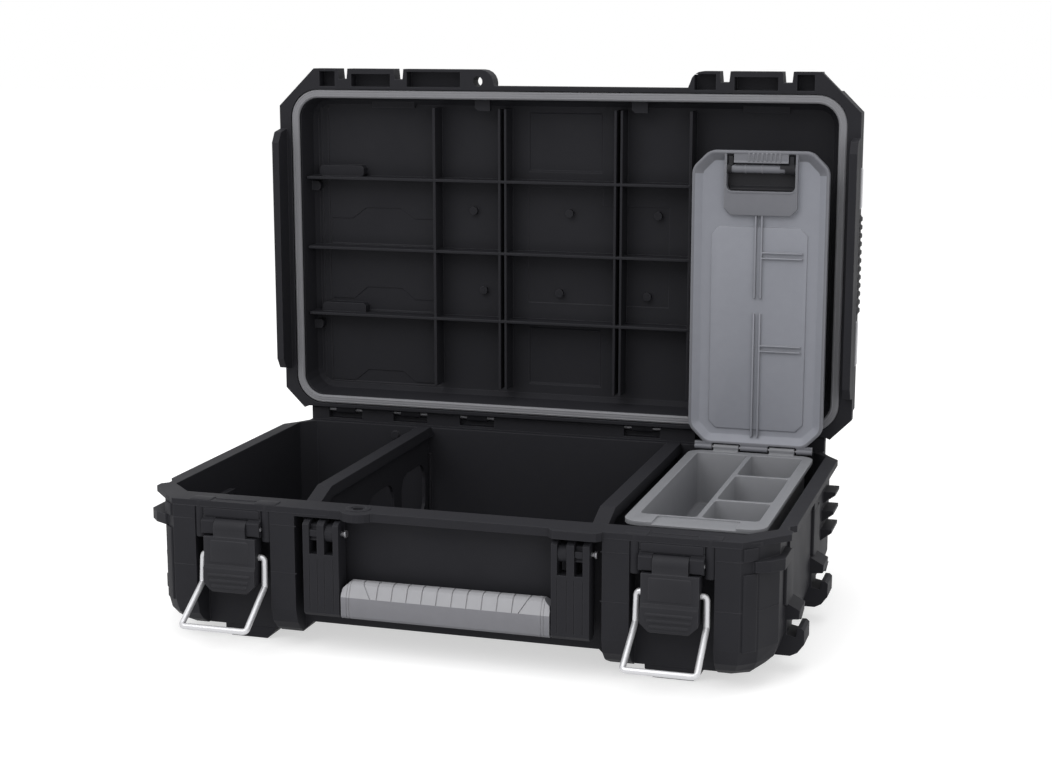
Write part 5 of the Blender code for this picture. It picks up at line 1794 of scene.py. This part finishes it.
@dataclass
class BaseSeams:
    """Fine raised seams round the base's front blocks."""

    corner: tuple[Span, Span] = ((240.9, -171.72), (253.8, -159.72))
    far: Span = (265.8, -138.0)
    heights: Span = (107.0, 66.6)
    inner: Span = (129.6, 152.4)
    outer: float = 221.6
    rim: float = 118.1
    rim_start: float = 101.0
    radius: float = 0.55

    def build(self, fitter: Fitter) -> None:
        """Lay each seam on the front and round the corner.

        Args:
            fitter: fits them to the tool box.
        """
        y = self.corner[0][1]
        for side in Side:
            self._lay(f"rim_line_{side.word}", side, ((self.rim_start, y), *self.corner), self.rim,
                      fitter)
        paths = {"inner": [(x, y) for x in self.inner],
                 "outer": [(self.outer, y), *self.corner, self.far]}
        for row, z in enumerate(self.heights, 1):
            for side in Side:
                for part, path in paths.items():
                    self._lay(f"seam_{side.word}_{part}_{row}", side, path, z, fitter)

    def _lay(self, name: str, side: Side, path: Sequence[Span], z: float, fitter: Fitter) -> None:
        """Lay one seam.

        Args:
            name: name of the seam.
            side: half of the base that it lies on.
            path: its points on X and Y, for the right half.
            z: its height.
            fitter: fits it to the tool box.
        """
        points = [(side.value * px, py, z) for px, py in path]
        fitter.relief(Bench.wire(name, points, self.radius, 2), angle=50.0)


@dataclass
class RimRelief:
    """Low relief on the base's rim: pads over the latch columns, a ring round the padlock hole."""

    rim: float = 123.2
    rise: float = 0.6
    sunk: float = 0.8
    corner: float = 1.2
    ease: float = 0.4
    away: float = 29.5
    pad_half: float = 9.5
    pad_y: Span = (-171.6, -158.5)
    bar_half: float = 18.5
    bar_y: Span = (-164.4, -161.2)
    hole: Span = (-78.6, -160.4)
    ring: Span = (6.2, 10.6)
    ring_ease: float = 0.3

    def build(self, fitter: Fitter) -> None:
        """Model each raised form and fit it.

        Args:
            fitter: fits them to the tool box.
        """
        for side in Side:
            for step, word in ((-1, "inner"), (1, "outer")):
                x = side.value * (LATCH_X + step * self.away)
                fitter.relief(self._pad(f"rim_pad_{side.word}_{word}", x, self.pad_half,
                                        self.pad_y))
            fitter.relief(self._pad(f"rim_bar_{side.word}", side.value * LATCH_X, self.bar_half,
                                    self.bar_y))
        ring = Bench.rod("padlock_ring", "z", self.hole, self.ring[1],
                         (self.rim - 1.0, self.rim + self.rise), 48)
        Bench.carve(ring, Bench.rod("hole", "z", self.hole, self.ring[0],
                                    (self.rim - 5.0, self.rim + 5.0), 48))
        Bench.soften(ring, self.ring_ease, 2, 50.0)
        fitter.relief(ring, angle=50.0)

    def _pad(self, name: str, x: float, half: float, y: Span) -> Item:
        """Model one low pad with eased edges.

        Args:
            name: name of the pad.
            x: its middle on X.
            half: half of its width.
            y: where it starts and stops on Y.

        Returns:
            The pad.
        """
        top = self.rim + self.rise
        pad = Bench.block(name, (x - half, y[0], self.rim - self.sunk), (x + half, y[1], top))
        Bench.round_off(pad, along("z", 1.0), self.corner, 3)
        Bench.round_off(pad, lambda a, b: min(a.z, b.z) > top - 0.1, self.ease, 2)
        return pad


@dataclass
class CornerPosts:
    """Flat posts on the sloping front corners of the base."""

    start: Span = (241.0, -172.0)
    stop: Span = (254.0, -160.0)
    width: float = 13.2
    rise: float = 1.6
    rows: tuple[Span, ...] = ((34.5, 97.0), (107.6, 117.6))
    edges: Span = (1.5, 1.2)

    def build(self, fitter: Fitter) -> None:
        """Model the posts of the right corner and mirror them.

        Args:
            fitter: fits them to the tool box.
        """
        start, stop = Vector(self.start), Vector(self.stop)
        run = stop - start
        for row, (low, high) in enumerate(self.rows, 1):
            post = Bench.block(f"corner_post_right_{row}", (-self.width / 2, -self.rise, low),
                               (self.width / 2, 1.0, high))
            Bench.round_off(post, lambda a, b: max(a.y, b.y) < 0.0 and abs(a.z - b.z) > 1.0,
                            self.edges[0], 4)
            Bench.round_off(post, lambda a, b: max(a.y, b.y) < 0.1 and abs(a.z - b.z) < 0.01 and
                            abs(a.x - b.x) > 1.0, self.edges[1], 3)
            post.rotation_euler.z = math.atan2(run.y, run.x)
            post.location = ((start + stop) / 2 * MM).to_3d()
            Bench.single(post)
            bpy.ops.object.transform_apply(location=True, rotation=True, scale=True)
            fitter.relief(post, Bench.copy(post, f"corner_post_left_{row}", mirror=True))


@dataclass
class SideBands:
    """Raised bands on the base's sides, that drop from the rim and slope back to the hooks."""

    wall: float = 266.0
    rise: float = 2.7
    ease: float = 0.8
    outline: tuple[Span, ...] = ((-118.0, 100.0), (-118.0, 60.0), (-51.0, 34.5), (-31.0, 21.0),
                                 (-14.5, 26.0), (-83.0, 56.0), (-87.0, 100.0))
    shifts: tuple[float, ...] = (0.0, 148.0)

    def build(self, fitter: Fitter) -> None:
        """Cut each band of the right side and mirror it.

        Args:
            fitter: fits them to the tool box.
        """
        reach = (self.wall - 1.0, self.wall + self.rise)
        for index, shift in enumerate(self.shifts, 1):
            outline = [(y + shift, z) for y, z in self.outline]
            right = Bench.plate(f"side_band_right_{index}", outline, reach, self.ease)
            fitter.relief(right, Bench.copy(right, f"side_band_left_{index}", mirror=True))


CAD_FINISHES = {
    "base_shell": Palette.SHELL, "lid_shell": Palette.SHELL, "lid_gasket": Palette.GASKET,
    "handle_frame": Palette.HANDLE, "handle_grip": Palette.GRIP,
    "divider_left": Palette.DIVIDER, "divider_right": Palette.DIVIDER,
    "organizer_bin": Palette.BIN, "organizer_lid": Palette.COVER, "organizer_latch": Palette.SNAP,
    "latch_lever_left": Palette.LEVER, "latch_lever_right": Palette.LEVER,
    "latch_bail_left": Palette.WIRE, "latch_bail_right": Palette.WIRE,
    "lid_tread_pad_left": Palette.TREAD, "lid_tread_pad_right": Palette.TREAD,
}


def dress_solids(frame: dict, shop: PaintShop) -> None:
    """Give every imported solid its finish.

    Args:
        shop: maker of the finishes.
    """
    for name, item in frame["nodes"].items():
        spare = Palette.STRIP if name.startswith("lid_edge_strip") else Palette.STEEL
        shop.dress(item, CAD_FINISHES.get(name, spare))
    LOG.info("dressed %d solids", len(frame["nodes"]))


def corners() -> list[list[float]]:
    """Lowest and highest corner of the whole object, as plain lists."""
    return [list(corner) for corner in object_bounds()]


def main() -> None:
    """Build the studio and dress the tool box."""
    logging.basicConfig(level=logging.INFO, format="%(name)s: %(message)s")
    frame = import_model()
    bpy.ops.object.select_all(action="DESELECT")
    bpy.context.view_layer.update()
    shop = PaintShop()
    Studio().build()
    dress_solids(frame, shop)
    fitter = Fitter(shop)
    for assembly in (HandleGrip(), LidGasket(), SideTread(), LatchLever(), WireBail(), PartsBin(),
                     BinCover(),
                     SnapLatch(), LatchColumns(), LatchLintels(), BaseSeams(), RimRelief(),
                     CornerPosts(),
                     SideBands()):
        assembly.build(fitter)
    LOG.info("fitted %d new pieces", fitter.count)


if __name__ == "__main__":
    main()
